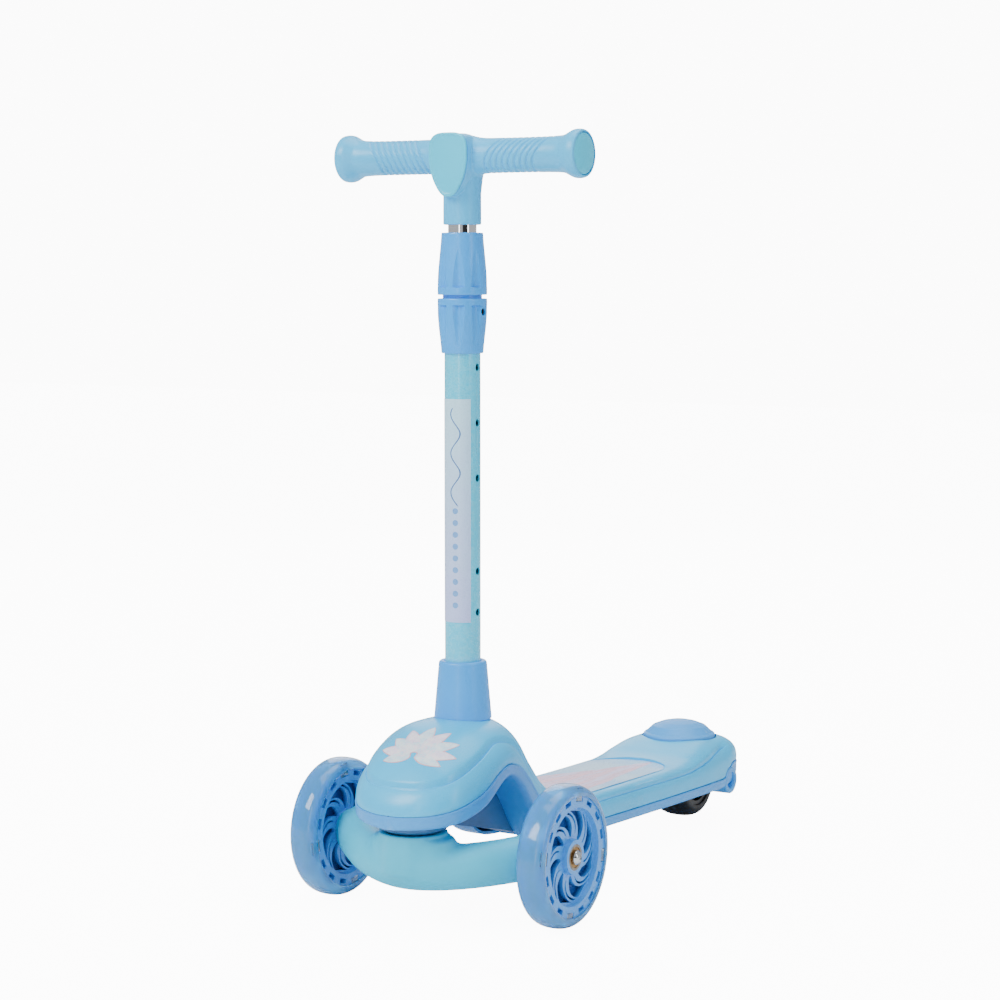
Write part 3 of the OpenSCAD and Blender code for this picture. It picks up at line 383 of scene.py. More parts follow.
metals = {
    # name: colour, gloss low and high, stretch of the marks, mark depth
    "chrome": ("E6E8EA", 0.03, 0.08, (60.0, 60.0, 700.0), 0.000005),
    "zincSteel": ("B9BDC2", 0.22, 0.36, (500.0, 500.0, 500.0), 0.00001),
    "boltSteel": ("D2D6DA", 0.06, 0.14, (400.0, 400.0, 400.0), 0.000006),
    "springSteel": ("9A9EA4", 0.2, 0.3, (300.0, 300.0, 300.0), 0.00001),
}


def makeMetal(name):
    colour, low, high, stretch, depth = metals[name]
    material, tree, shader = startMaterial(name, Metallic=1.0)
    marks = useGroup(tree, toolMarks, Stretch=stretch, Gloss_Low=low, Gloss_High=high)
    dirt = ramp(tree, marks.outputs["Height"], 0.3, 0.7, 0.0, 0.12)
    shade = mixColour(tree, dirt, tone(colour), (0.2, 0.2, 0.22, 1))
    link(tree, shade, shader.inputs["Base Color"])
    link(tree, marks.outputs["Roughness"], shader.inputs["Roughness"])
    addBump(tree, shader, marks.outputs["Height"], depth, 0.3)
    return material


def makeTubePaint():
    # powder coat with a clear top and a faint orange peel
    material, tree, shader = startMaterial("tubePaint", Coat_Weight=0.6, Coat_Roughness=0.08)
    skin = useGroup(tree, mouldedSkin, Colour=tone("30CEF3"), Drift=0.03, Grain_Scale=700.0, Gloss_Low=0.2,
                    Gloss_High=0.32)
    rub = useGroup(tree, edgeRub, Colour=skin.outputs["Colour"], Rubbed=tone("B8F0FF"), Amount=0.12)
    link(tree, rub.outputs["Colour"], shader.inputs["Base Color"])
    link(tree, skin.outputs["Roughness"], shader.inputs["Roughness"])
    addBump(tree, shader, skin.outputs["Height"], 0.000008, 0.25)
    return material


def makeClearTyre():
    # cast polyurethane: water clear at its skin, blue in its depth
    material, tree, shader = startMaterial("clearTyre", Transmission_Weight=0.6, IOR=1.36, Coat_Weight=0.5,
                                           Coat_Roughness=0.05)
    skin = useGroup(tree, mouldedSkin, Colour=tone("58BEFF"), Drift=0.02, Grain_Scale=300.0, Gloss_Low=0.06,
                    Gloss_High=0.16)
    link(tree, skin.outputs["Colour"], shader.inputs["Base Color"])
    link(tree, skin.outputs["Roughness"], shader.inputs["Roughness"])
    addBump(tree, shader, skin.outputs["Height"], 0.00001, 0.2)
    return material


def makeLightBlock():
    material, tree, shader = startMaterial("lightBlock", Transmission_Weight=0.75, IOR=1.46)
    skin = useGroup(tree, mouldedSkin, Colour=tone("CFE6FA"), Drift=0.05, Grain_Scale=500.0, Gloss_Low=0.08,
                    Gloss_High=0.2)
    link(tree, skin.outputs["Colour"], shader.inputs["Base Color"])
    link(tree, skin.outputs["Roughness"], shader.inputs["Roughness"])
    addBump(tree, shader, skin.outputs["Height"], 0.00005, 0.3)
    return material


def makeRubber():
    # rolling wear: the crown of the tread is scuffed greyer than its sides
    material, tree, shader = startMaterial("blackRubber")
    at = place3(tree)
    skin = useGroup(tree, mouldedSkin, Colour=tone("101012"), Drift=0.2, Grain_Scale=900.0, Gloss_Low=0.42,
                    Gloss_High=0.6)
    side = tree.nodes.new("ShaderNodeSeparateXYZ")
    link(tree, at, side.inputs[0])
    crown = ramp(tree, mathNode(tree, "ABSOLUTE", side.outputs["X"]), 0.002, 0.014, 1.0, 0.0)
    scuff = mathNode(tree, "MULTIPLY", crown, ramp(tree, noise(tree, at, 350.0, 4.0), 0.4, 0.65, 0.0, 0.35))
    link(tree, mixColour(tree, scuff, skin.outputs["Colour"], tone("46474A")), shader.inputs["Base Color"])
    link(tree, skin.outputs["Roughness"], shader.inputs["Roughness"])
    addBump(tree, shader, skin.outputs["Height"], 0.00008)
    return material


def ringDistance(tree, centre):
    # distance from a wheel's axle line
    node = tree.nodes.new("ShaderNodeSeparateXYZ")
    link(tree, place3(tree), node.inputs[0])
    squares = []
    for label, value in (("Y", centre.y * mm), ("Z", centre.z * mm)):
        side = mathNode(tree, "SUBTRACT", node.outputs[label], value)
        squares.append(mathNode(tree, "POWER", side, 2.0))
    return mathNode(tree, "SQRT", mathNode(tree, "ADD", squares[0], squares[1]))


def makeBearing(name, centre):
    # steel rings with a bronze shield between them
    material, tree, shader = startMaterial(name)
    radius = ringDistance(tree, centre)
    shield = mathNode(tree, "MULTIPLY", ramp(tree, radius, 0.0058, 0.0062),
                      ramp(tree, radius, 0.0086, 0.009, 1.0, 0.0))
    marks = useGroup(tree, toolMarks, Stretch=(300.0, 300.0, 300.0), Gloss_Low=0.22, Gloss_High=0.4)
    dirt = ramp(tree, marks.outputs["Height"], 0.3, 0.7, 0.0, 0.35)
    steel = mixColour(tree, dirt, tone("8B857C"), tone("3E3A34"))
    bronze = mixColour(tree, dirt, tone("9A7440"), tone("4E3A20"))
    link(tree, mixColour(tree, shield, steel, bronze), shader.inputs["Base Color"])
    shader.inputs["Metallic"].default_value = 0.9
    link(tree, marks.outputs["Roughness"], shader.inputs["Roughness"])
    addBump(tree, shader, marks.outputs["Height"], 0.00001, 0.3)
    return material


stickerFilm = {"roughLow": 0.25, "roughHigh": 0.36, "peel": 0.00002}


def finishSticker(tree, shader, colour):
    link(tree, colour, shader.inputs["Base Color"])
    fine = noise(tree, place3(tree), 900.0, 2.0)
    gloss = ramp(tree, fine, 0.35, 0.65, stickerFilm["roughLow"], stickerFilm["roughHigh"])
    link(tree, gloss, shader.inputs["Roughness"])
    addBump(tree, shader, fine, stickerFilm["peel"], 0.3)


labelArt = {"top": "BFE9FF", "low": "BCC9FA", "ink": "2E62A8", "dots": "6FA4E2", "wave": 0.0042, "turns": 190.0}


def makeLabel():
    # a pale fade with a plain winding line and a row of dots
    material, tree, shader = startMaterial("tubeLabelFilm", Coat_Weight=0.2, Coat_Roughness=0.1)
    low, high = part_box("tube_label")
    parts = tree.nodes.new("ShaderNodeSeparateXYZ")
    link(tree, place3(tree), parts.inputs[0])
    height = parts.outputs["Z"]
    fade = ramp(tree, height, low.z, high.z, 0.0, 1.0, smooth=False)
    cloud = noise(tree, place3(tree), 40.0, 3.0)
    ground = mixColour(tree, mathNode(tree, "ADD", fade, mathNode(tree, "MULTIPLY_ADD", cloud, 0.5, -0.25)),
                       tone(labelArt["low"]), tone(labelArt["top"]))
    swing = mathNode(tree, "MULTIPLY", mathNode(tree, "SINE", mathNode(tree, "MULTIPLY", height, labelArt["turns"])),
                     labelArt["wave"])
    fromSwing = mathNode(tree, "SUBTRACT", parts.outputs["X"], swing)
    lineAway = mathNode(tree, "ABSOLUTE", mathNode(tree, "SUBTRACT", fromSwing, 0.002))
    line = ramp(tree, lineAway, 0.0004, 0.0007, 1.0, 0.0)
    upper = ramp(tree, height, low.z + 0.098, low.z + 0.1)
    topEnd = ramp(tree, height, high.z - 0.008, high.z - 0.007, 1.0, 0.0)
    inked = mixColour(tree, mathNode(tree, "MULTIPLY", mathNode(tree, "MULTIPLY", line, upper), topEnd), ground,
                      tone(labelArt["ink"]))
    beat = mathNode(tree, "PINGPONG", height, 0.005)
    across = mathNode(tree, "SUBTRACT", parts.outputs["X"], 0.002)
    away = mathNode(tree, "SQRT", mathNode(tree, "ADD", mathNode(tree, "POWER", beat, 2.0),
                                           mathNode(tree, "POWER", across, 2.0)))
    dot = mathNode(tree, "MULTIPLY", ramp(tree, away, 0.0024, 0.0027, 1.0, 0.0),
                   mathNode(tree, "SUBTRACT", 1.0, upper))
    lowEnd = ramp(tree, height, low.z + 0.008, low.z + 0.009)
    dotted = mathNode(tree, "MULTIPLY", dot, lowEnd)
    finishSticker(tree, shader, mixColour(tree, dotted, inked, tone(labelArt["dots"])))
    return material


deckArt = {"sky": "8CCBFA", "mist": "B5DEFB", "lilac": "D9CDF3", "rose": "EDB9D4", "vein": "B8798F"}


def makeDeckArt():
    # long pale sweeps that run to a point towards the rear
    material, tree, shader = startMaterial("deckStickerFilm", Coat_Weight=0.15, Coat_Roughness=0.15)
    low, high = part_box("deck_sticker")
    parts = tree.nodes.new("ShaderNodeSeparateXYZ")
    link(tree, place3(tree), parts.inputs[0])
    along = ramp(tree, parts.outputs["Y"], low.y, high.y, 0.0, 1.0, smooth=False)
    stretched = tree.nodes.new("ShaderNodeVectorMath")
    stretched.operation = "MULTIPLY"
    stretched.inputs[1].default_value = (130.0, 14.0, 1.0)
    link(tree, place3(tree), stretched.inputs[0])
    streak = noise(tree, stretched.outputs[0], 1.0, 4.0, 0.55)
    wander = noise(tree, place3(tree), 18.0, 3.0)
    centre = mathNode(tree, "MULTIPLY_ADD", along, 0.026, -0.012)
    away = mathNode(tree, "ABSOLUTE", mathNode(tree, "SUBTRACT", parts.outputs["X"], centre))
    reach = mathNode(tree, "MULTIPLY_ADD", mathNode(tree, "SUBTRACT", 0.97, along), 0.05, 0.002)
    edge = mathNode(tree, "SUBTRACT", reach, mathNode(tree, "MULTIPLY_ADD", wander, 0.012, -0.006))
    sweep = ramp(tree, mathNode(tree, "SUBTRACT", edge, away), -0.001, 0.001)
    ground = mixColour(tree, ramp(tree, wander, 0.35, 0.65), tone(deckArt["sky"]), tone(deckArt["mist"]))
    robe = mixColour(tree, ramp(tree, streak, 0.38, 0.62), tone(deckArt["lilac"]), tone(deckArt["rose"]))
    fromMiddle = mathNode(tree, "ABSOLUTE", mathNode(tree, "SUBTRACT", streak, 0.5))
    veinMask = ramp(tree, fromMiddle, 0.004, 0.014, 0.55, 0.0)
    veined = mixColour(tree, veinMask, robe, tone(deckArt["vein"]))
    finishSticker(tree, shader, mixColour(tree, sweep, ground, veined))
    return material


def makePetalFilm(name, colour, streaks):
    material, tree, shader = startMaterial(name, Coat_Weight=0.15, Coat_Roughness=0.15)
    cloud = noise(tree, place3(tree), 160.0, 3.0)
    finishSticker(tree, shader, mixColour(tree, ramp(tree, cloud, 0.35, 0.65), tone(colour), tone(streaks)))
    return material


looks = {name: makePlastic(name) for name in plastics}
looks.update({name: makeMetal(name) for name in metals})
looks["wheelBlue"] = makeWheelBlue()
looks["tubePaint"] = makeTubePaint()
looks["clearTyre"] = makeClearTyre()
looks["lightBlock"] = makeLightBlock()
looks["blackRubber"] = makeRubber()
looks["frontBearing"] = makeBearing("frontBearing", frontAxle)
looks["rearBearing"] = makeBearing("rearBearing", rearAxle)
looks["tubeLabelFilm"] = makeLabel()
looks["deckStickerFilm"] = makeDeckArt()
looks["petalLilac"] = makePetalFilm("petalLilac", "E6DDF6", "F4EEFA")
looks["petalIce"] = makePetalFilm("petalIce", "C6E6FA", "E4F4FC")
looks["petalLine"] = makePetalFilm("petalLine", "E2B6C2", "D79FAF")
print("materials ready:", len(looks))


# mesh helpers, all in mm until the mesh is finished

def finishPiece(name, points, faces, look, body, slot, replaces=(), sharp=40, cuts=(), bevel=None):
    mesh = bpy.data.meshes.new(name)
    mesh.from_pydata([tuple(p) for p in points], [], [tuple(f) for f in faces])
    piece = bpy.data.objects.new(name, mesh)
    bpy.context.scene.collection.objects.link(piece)
    addCuts(piece, cuts)
    if bevel:
        edge = piece.modifiers.new("edge", "BEVEL")
        edge.width = bevel
        edge.segments = 2
        edge.angle_limit = math.radians(35)
        edge.use_clamp_overlap = True
    if cuts or bevel:
        settle(piece)
    for cutter in cuts:
        bpy.data.objects.remove(cutter)
    return dress(piece, look, body, slot, replaces, sharp)


def addCuts(piece, tools, selfCut=False):
    for tool in tools:
        cut = piece.modifiers.new("cut", "BOOLEAN")
        cut.operation, cut.solver, cut.object = "DIFFERENCE", "EXACT", tool
        cut.use_self = selfCut


def carve(piece, solids, selfCut=False):
    tools = [cutterOf(solid) for solid in solids]
    addCuts(piece, tools, selfCut)
    settle(piece)
    for tool in tools:
        bpy.data.objects.remove(tool)


def settle(piece):
    bpy.context.view_layer.update()
    graph = bpy.context.evaluated_depsgraph_get()
    mesh = bpy.data.meshes.new_from_object(piece.evaluated_get(graph))
    piece.modifiers.clear()
    piece.data = mesh


def dress(piece, look, body, slot, replaces=(), sharp=40):
    shape = bmesh.new()
    shape.from_mesh(piece.data)
    bmesh.ops.remove_doubles(shape, verts=shape.verts, dist=0.004)
    bmesh.ops.dissolve_degenerate(shape, edges=shape.edges, dist=0.004)
    bmesh.ops.recalc_face_normals(shape, faces=shape.faces)
    shape.to_mesh(piece.data)
    shape.free()
    piece.data.transform(Matrix.Scale(mm, 4))
    piece.data.materials.clear()
    piece.data.materials.append(looks[look])
    piece.data.shade_smooth()
    piece.data.set_sharp_from_angle(angle=math.radians(sharp))
    if replaces:
        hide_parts(*replaces)
    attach(piece, body)
    return piece


def loopFaces(rows, columns, closeRows=False):
    # quads of a grid of rows x columns points
    faces = []
    for i in range(rows if closeRows else rows - 1):
        for j in range(columns):
            a = i * columns + j
            b = i * columns + (j + 1) % columns
            c = ((i + 1) % rows) * columns + (j + 1) % columns
            d = ((i + 1) % rows) * columns + j
            faces.append((a, b, c, d))
    return faces


def turned(profile, sides, axis="Z", centre=(0, 0, 0), shape=None, close=False):
    # profile: (radius, along) pairs; shape(angle, along, radius) gives the local radius
    points = []
    for radius, along in profile:
        for j in range(sides):
            angle = 2 * math.pi * j / sides
            r = shape(angle, along, radius) if shape else radius
            u, v = r * math.cos(angle), r * math.sin(angle)
            p = (u, v, along) if axis == "Z" else (along, u, v)
            points.append([p[0] + centre[0], p[1] + centre[1], p[2] + centre[2]])
    faces = loopFaces(len(profile), sides, closeRows=close)
    if not close:
        last = (len(profile) - 1) * sides
        faces.append(tuple(range(sides - 1, -1, -1)))
        faces.append(tuple(range(last, last + sides)))
    return points, faces


def roundProfile(profile, radius, steps=5):
    # the open profile with its inner corners rounded
    out = [profile[0]]
    for before, at, after in zip(profile, profile[1:], profile[2:]):
        b, p, a = Vector(before), Vector(at), Vector(after)
        cut = min(radius, (b - p).length * 0.45, (a - p).length * 0.45)
        start, end = p + (b - p).normalized() * cut, p + (a - p).normalized() * cut
        for k in range(steps + 1):
            t = k / steps
            q = start * (1 - t) ** 2 + p * 2 * t * (1 - t) + end * t ** 2
            out.append((q.x, q.y))
    return out + [profile[-1]]


def prism(outline, low, high, axis="Z", centre=(0, 0, 0)):
    points, n = [], len(outline)
    for level in (low, high):
        for u, v in outline:
            p = (u, v, level) if axis == "Z" else (level, u, v)
            points.append([p[0] + centre[0], p[1] + centre[1], p[2] + centre[2]])
    faces = [tuple(range(n - 1, -1, -1)), tuple(range(n, 2 * n))]
    return points, faces + [(j, (j + 1) % n, n + (j + 1) % n, n + j) for j in range(n)]


def circle(radius, sides=96):
    angles = [2 * math.pi * k / sides for k in range(sides)]
    return [(radius * math.cos(a), radius * math.sin(a)) for a in angles]


def box3(low, high):
    (x0, y0, z0), (x1, y1, z1) = low, high
    return prism([(x0, y0), (x1, y0), (x1, y1), (x0, y1)], z0, z1)


def together(*solids):
    points, faces = [], []
    for somePoints, someFaces in solids:
        start = len(points)
        points += list(somePoints)
        faces += [tuple(k + start for k in face) for face in someFaces]
    return points, faces


def cutterOf(solid):
    mesh = bpy.data.meshes.new("cutter")
    mesh.from_pydata([tuple(p) for p in solid[0]], [], solid[1])
    shape = bmesh.new()
    shape.from_mesh(mesh)
    bmesh.ops.recalc_face_normals(shape, faces=shape.faces)
    shape.to_mesh(mesh)
    shape.free()
    tool = bpy.data.objects.new("cutter", mesh)
    tool.hide_render = True
    bpy.context.scene.collection.objects.link(tool)
    return tool


def curve(line, at):
    # smooth curve through (position, value) pairs, flat past its ends
    xs, values = np.array(line, float).T
    at = np.clip(np.asarray(at, float), xs[0], xs[-1])
    index = np.clip(np.searchsorted(xs, at, side="right") - 1, 0, len(xs) - 2)
    left, right = np.maximum(np.arange(len(xs)) - 1, 0), np.minimum(np.arange(len(xs)) + 1, len(xs) - 1)
    slopes = (values[right] - values[left]) / (xs[right] - xs[left])
    step = xs[index + 1] - xs[index]
    t = (at - xs[index]) / step
    return ((2 * t ** 3 - 3 * t ** 2 + 1) * values[index] + (t ** 3 - 2 * t ** 2 + t) * slopes[index] * step
            + (3 * t ** 2 - 2 * t ** 3) * values[index + 1] + (t ** 3 - t ** 2) * slopes[index + 1] * step)


def ease(value, low, high):
    t = np.clip((np.asarray(value, float) - low) / (high - low), 0, 1)
    return t * t * (3 - 2 * t)


# deck and dome shells

deckTop = domeZ - 87.5
tailTop = deckTop + 7.5
slopeY = frontY + 134
deckFall = math.radians(1.6)
slopeRate = math.tan(deckFall)
kingpinY = frontY - 54


def dropAt(y):
    return (y - slopeY) * slopeRate


shellLines = {
    "width": [(noseY, 8.1), (noseY + 1.5, 16.2), (noseY + 6, 29), (noseY + 14, 40.6), (noseY + 28, 50.5),
              (frontY - 42, 56), (frontY - 22, 58), (frontY + 5, 56.8), (frontY + 40, 52.8), (frontY + 80, 50.6),
              (frontY + 130, 51.7), (rearY - 140, 55), (rearY - 50, 55), (rearY - 20, 54.2), (rearY, 53),
              (tailY - 18, 50.8), (tailY - 8, 47.4), (tailY - 2, 41), (tailY, 33.5)],
    "crest": [(noseY, domeZ - 62), (noseY + 1.5, domeZ - 57), (noseY + 6, domeZ - 48), (noseY + 14, domeZ - 37),
              (noseY + 30, domeZ - 21.5), (frontY - 40, domeZ - 9), (frontY - 12, domeZ - 1.5), (stemY - 10, domeZ),
              (stemY + 8, domeZ - 0.5), (stemY + 18, domeZ - 3), (frontY + 53, domeZ - 14), (frontY + 68, domeZ - 30),
              (frontY + 83, deckTop + 40), (frontY + 96, deckTop + 25), (frontY + 105, deckTop + 15),
              (frontY + 113, deckTop + 7.5), (frontY + 122, deckTop + 2), (slopeY, deckTop),
              (rearY - 105, deckTop - dropAt(rearY - 105)), (rearY - 78, tailTop - 11), (rearY - 60, tailTop - 6.5),
              (rearY - 38, tailTop - 1.5), (rearY - 18, tailTop), (rearY, tailTop), (tailY - 18, tailTop - 1),
              (tailY - 8, tailTop - 4), (tailY - 2, tailTop - 9), (tailY, tailTop - 14)],
    "parting": [(noseY, domeZ - 66), (frontY - 60, domeZ - 59), (frontY - 35, domeZ - 51), (frontY - 12, domeZ - 39),
                (frontY + 4, domeZ - 34.5), (frontY + 18, domeZ - 36), (frontY + 40, domeZ - 46),
                (frontY + 67, deckTop + 15.5), (frontY + 88, deckTop - 10), (frontY + 110, deckTop - 22),
                (slopeY, deckTop - 24), (rearY - 30, deckTop - 24 - dropAt(rearY - 30)), (rearY - 14, deckTop - 31.5),
                (rearY - 4, deckTop - 27), (rearY + 6, deckTop - 20), (tailY, deckTop - 20)],
    "belly": [(noseY, domeZ - 77), (frontY - 60, domeZ - 74), (frontY - 29, domeZ - 66), (frontY - 12, domeZ - 56),
              (frontY + 4, domeZ - 48), (frontY + 18, domeZ - 48), (frontY + 34, domeZ - 58),
              (frontY + 52, deckTop + 9),
              (frontY + 68, deckTop - 14), (frontY + 86, deckTop - 29), (frontY + 112, deckTop - 34.5),
              (slopeY, deckTop - 35), (rearY - 30, deckTop - 35 - dropAt(rearY - 30)), (rearY, deckTop - 43),
              (tailY - 16, deckTop - 40), (tailY - 5, deckTop - 34), (tailY, deckTop - 26)],
    "square": [(noseY, 2.1), (frontY - 40, 2.3), (stemY, 2.3), (frontY + 60, 2.0), (frontY + 90, 2.6),
               (frontY + 110, 4), (frontY + 130, 5), (rearY - 80, 5), (rearY - 40, 4), (tailY, 3)],
    # height of the long crease between the upper panel and the skirt
    "crease": [(noseY + 2, domeZ - 45.4), (noseY + 8.5, domeZ - 44.6), (noseY + 16, domeZ - 42.6),
               (noseY + 26, domeZ - 39.3), (noseY + 41, domeZ - 33.9), (noseY + 57, domeZ - 27.4),
               (noseY + 72, domeZ - 20.7), (noseY + 83, domeZ - 16.3), (frontY + 1.4, domeZ - 14.8),
               (frontY + 15, domeZ - 16.9), (frontY + 23, domeZ - 20.4), (frontY + 30, domeZ - 25.5),
               (frontY + 38, domeZ - 33.6), (frontY + 45.5, domeZ - 42), (frontY + 53, domeZ - 50),
               (frontY + 63, domeZ - 59), (frontY + 83, deckTop + 15), (frontY + 105, deckTop + 2),
               (frontY + 122, deckTop - 6), (frontY + 140, deckTop - 9), (frontY + 190, deckTop - 10.2),
               (frontY + 260, deckTop - 11.9), (rearY - 90, deckTop - 14.3), (rearY - 63, deckTop - 12.5),
               (rearY - 43, deckTop - 9.6), (rearY - 17, deckTop - 4.4), (rearY + 4, deckTop - 2)],
}
shellDetail = {"skirtColumns": 34, "panelColumns": 46, "wall": 3.2, "creaseDepth": 2.9, "bevelWidth": 7.5,
               "rollWidth": 2.6, "lipRound": 0.8, "traySquare": 7, "seam": 0.5, "lip": 0.55, "lipHeight": 2.6}


def shellRows():
    fine = [noseY + s for s in (0, 0.35, 0.8, 1.4, 2.2, 3.2, 4.2, 5.2, 6.2, 7.2)]
    fine += list(np.arange(noseY + 8, noseY + 24, 0.7))
    fine += list(np.arange(noseY + 24, frontY + 122, 1.5)) + list(np.arange(frontY + 122, rearY - 108, 4.0))
    fine += list(np.arange(rearY - 108, tailY - 12, 1.7))
    return np.array(fine + [tailY - s for s in (10.5, 9, 7.6, 6.2, 5, 3.9, 2.9, 2, 1.3, 0.8, 0.35, 0)])


def halfSection(y, inset, fromTop):
    # one half of an upper section, from the parting line up to the crest (x positive)
    w, p, h, e = (float(curve(shellLines[k], y)) for k in ("width", "parting", "crest", "square"))
    w, h = w - inset, h - inset
    angles = np.linspace(0, math.pi / 2, 700)
    x = w * np.cos(angles) ** (2 / e)
    z = p + (h - p) * np.sin(angles) ** (2 / e)
    length = np.concatenate([[0], np.cumsum(np.hypot(np.diff(x), np.diff(z)))])
    crossing = length[-1] - 0.02 if h <= fromTop else float(np.interp(fromTop, z, length))
    crossing = min(max(crossing, length[-1] * 0.05), length[-1] * 0.995)
    low, high = shellDetail["skirtColumns"], shellDetail["panelColumns"]
    below = crossing * (1 - (1 - np.linspace(0, 1, low)) ** 1.7)
    above = crossing + (length[-1] - crossing) * np.linspace(0, 1, high + 1)[1:] ** 1.5
    at = np.concatenate([below, above])
    return np.interp(at, length, x), np.interp(at, length, z)


def gridNormals(grid):
    along = np.gradient(grid, axis=0)
    across = np.gradient(grid, axis=1)
    normal = np.cross(across, along)
    size = np.linalg.norm(normal, axis=2, keepdims=True)
    return normal / np.maximum(size, 1e-9)


def upperGrid(inset):
    rows = []
    for y in shellRows():
        x, z = halfSection(y, inset, float(curve(shellLines["crease"], y)))
        half = np.stack([x, np.full_like(x, y), z], axis=1)
        other = half[-2::-1] * np.array([-1, 1, 1])
        rows.append(np.concatenate([half, other]))
    return np.array(rows)


def creasedGrid(grid):
    # steps the skirt under the upper panel along the crease
    normal = gridNormals(grid)
    centre = np.array([0, 0, domeZ - 60])
    flip = np.sign(np.sum(normal * (grid - centre) * np.array([1, 0, 1]), axis=2, keepdims=True))
    normal = normal * np.where(flip == 0, 1, flip)
    y = grid[:, :, 1]
    line = curve(shellLines["crease"], y)
    rise = (curve(shellLines["crease"], y + 0.5) - curve(shellLines["crease"], y - 0.5))
    steep = np.stack([np.zeros_like(rise), -rise, np.ones_like(rise)], axis=2)
    onSurface = steep - normal * np.sum(steep * normal, axis=2, keepdims=True)
    away = (grid[:, :, 2] - line) / np.maximum(np.linalg.norm(onSurface, axis=2), 0.3)
    bevel = np.clip(1 - away / shellDetail["bevelWidth"], 0, 1) ** 1.25
    roll = np.clip(1 + away / shellDetail["rollWidth"], 0, 1)
    rolled = 1 - np.sqrt(np.clip(1 - roll ** 2, 0, 1))
    dish = 0.45 * np.clip(1 + away / 14, 0, 1) ** 2
    depth = np.where(away > 0, bevel, np.maximum(rolled, dish)) * shellDetail["creaseDepth"]
    fade = 1 - ease(y, rearY - 14, rearY + 4)
    return grid - normal * (depth * fade)[:, :, None]


def ringFaces(rows, columns):
    # rings that run out along the outside and back along the inside, with strip caps at both ends
    faces = loopFaces(rows, columns)
    half = columns // 2
    last = (rows - 1) * columns
    for j in range(half - 1):
        faces.append((j + 1, j, columns - 1 - j, columns - 2 - j))
        faces.append((last + j, last + j + 1, last + columns - 2 - j, last + columns - 1 - j))
    return faces


def hollowed(outer, inner, ys, ends):
    # pulls the inside of the end rows together, so that nose and tail are solid
    solid = (ys < noseY + ends) | (ys > tailY - ends)
    slit = inner.copy()
    slit[:, :, 0] = np.clip(inner[:, :, 0], -0.4, 0.4)
    foot = outer[:, :1, 2:3]
    slit[:, :, 2:3] = foot + np.clip(inner[:, :, 2:3] - foot, -0.4, 0.4)
    inner = np.where(solid[:, None, None], slit, inner)
    return np.concatenate([outer, inner[:, ::-1]], axis=1)


def onDeck(points):
    # leans level shapes about the line where the deck starts to fall
    out = []
    for x, y, z in points:
        along = y - slopeY
        out.append((x, slopeY + along * math.cos(deckFall) + z * math.sin(deckFall),
                    z * math.cos(deckFall) - along * math.sin(deckFall)))
    return out


openings = {
    # radii or half widths of the cuts through the shells
    "stem": 17.75, "foot": 25.3, "footDepth": 2.5, "pedal": 37, "wheelArch": 42.5, "wheelHalf": 21.5,
    "frameHalf": 21.15, "turret": 30.15, "wheelWell": 23,
}
lugSet = {"from": 23, "radius": 13, "gap": 1.2, "long": 31, "hole": 8, "floor": 18.2, "bore": 4.1, "round": 1.3}
recessSet = {"halfWidth": 42, "front": slopeY + 4, "rear": rearY - 90, "depth": 1.2}


def capsule(halfWidth, front, rear, steps=48):
    turn = np.linspace(0, math.pi, steps)
    back = [(halfWidth * math.cos(a), rear - halfWidth + halfWidth * math.sin(a)) for a in turn]
    fore = [(-halfWidth * math.cos(a), front + halfWidth - halfWidth * math.sin(a)) for a in turn]
    return back + fore


def alongX(radius, low, high, centre, sides=96):
    return prism(circle(radius, sides), low, high, "X", (0, centre[0], centre[1]))


def buildTopShell():
    ys = shellRows()
    outer = creasedGrid(upperGrid(0))
    # round the lower rim
    rim = np.linspace(0, 1, 4)
    for k in range(4):
        pull = shellDetail["lipRound"] * (1 - math.sqrt(max(0.0, 1 - (1 - rim[k]) ** 2)))
        outer[:, k, 0] -= pull
        outer[:, -1 - k, 0] += pull
    inner = upperGrid(shellDetail["wall"])
    rings = hollowed(outer, inner, ys, 4)
    points = rings.reshape(-1, 3)
    faces = ringFaces(rings.shape[0], rings.shape[1])
    recess = prism(capsule(recessSet["halfWidth"], recessSet["front"], recessSet["rear"]), 0, 10)
    depthZ = deckTop - recessSet["depth"]
    recess = (onDeck([(x, y, z + depthZ) for x, y, z in recess[0]]), recess[1])
    stem = prism(circle(openings["stem"]), domeZ - 40, domeZ + 10, centre=(0, stemY, 0))
    seat = prism(circle(openings["foot"], 128), domeZ - openings["footDepth"], domeZ + 10, centre=(0, stemY, 0))
    well = prism(circle(openings["pedal"], 160), tailTop - 14, tailTop + 16, centre=(0, pedalY, 0))
    half = openings["wheelHalf"]
    notch = alongX(openings["wheelArch"], -half, half, (rearY, rearAxle.z), 160)
    notchR = lugSet["radius"] + lugSet["gap"]
    lugs = [alongX(notchR, low, high, (rearY, rearAxle.z)) for low, high in ((23, 60), (-60, -23))]
    cuts = [cutterOf(solid) for solid in (recess, stem, seat, well, notch, *lugs)]
    return finishPiece("top_shell", points, faces, "aquaShell", "chassis", "aqua_shell", ["deck_top_shell"],
                       sharp=38, cuts=cuts)


topShell = buildTopShell()
print("top shell", len(topShell.data.vertices))


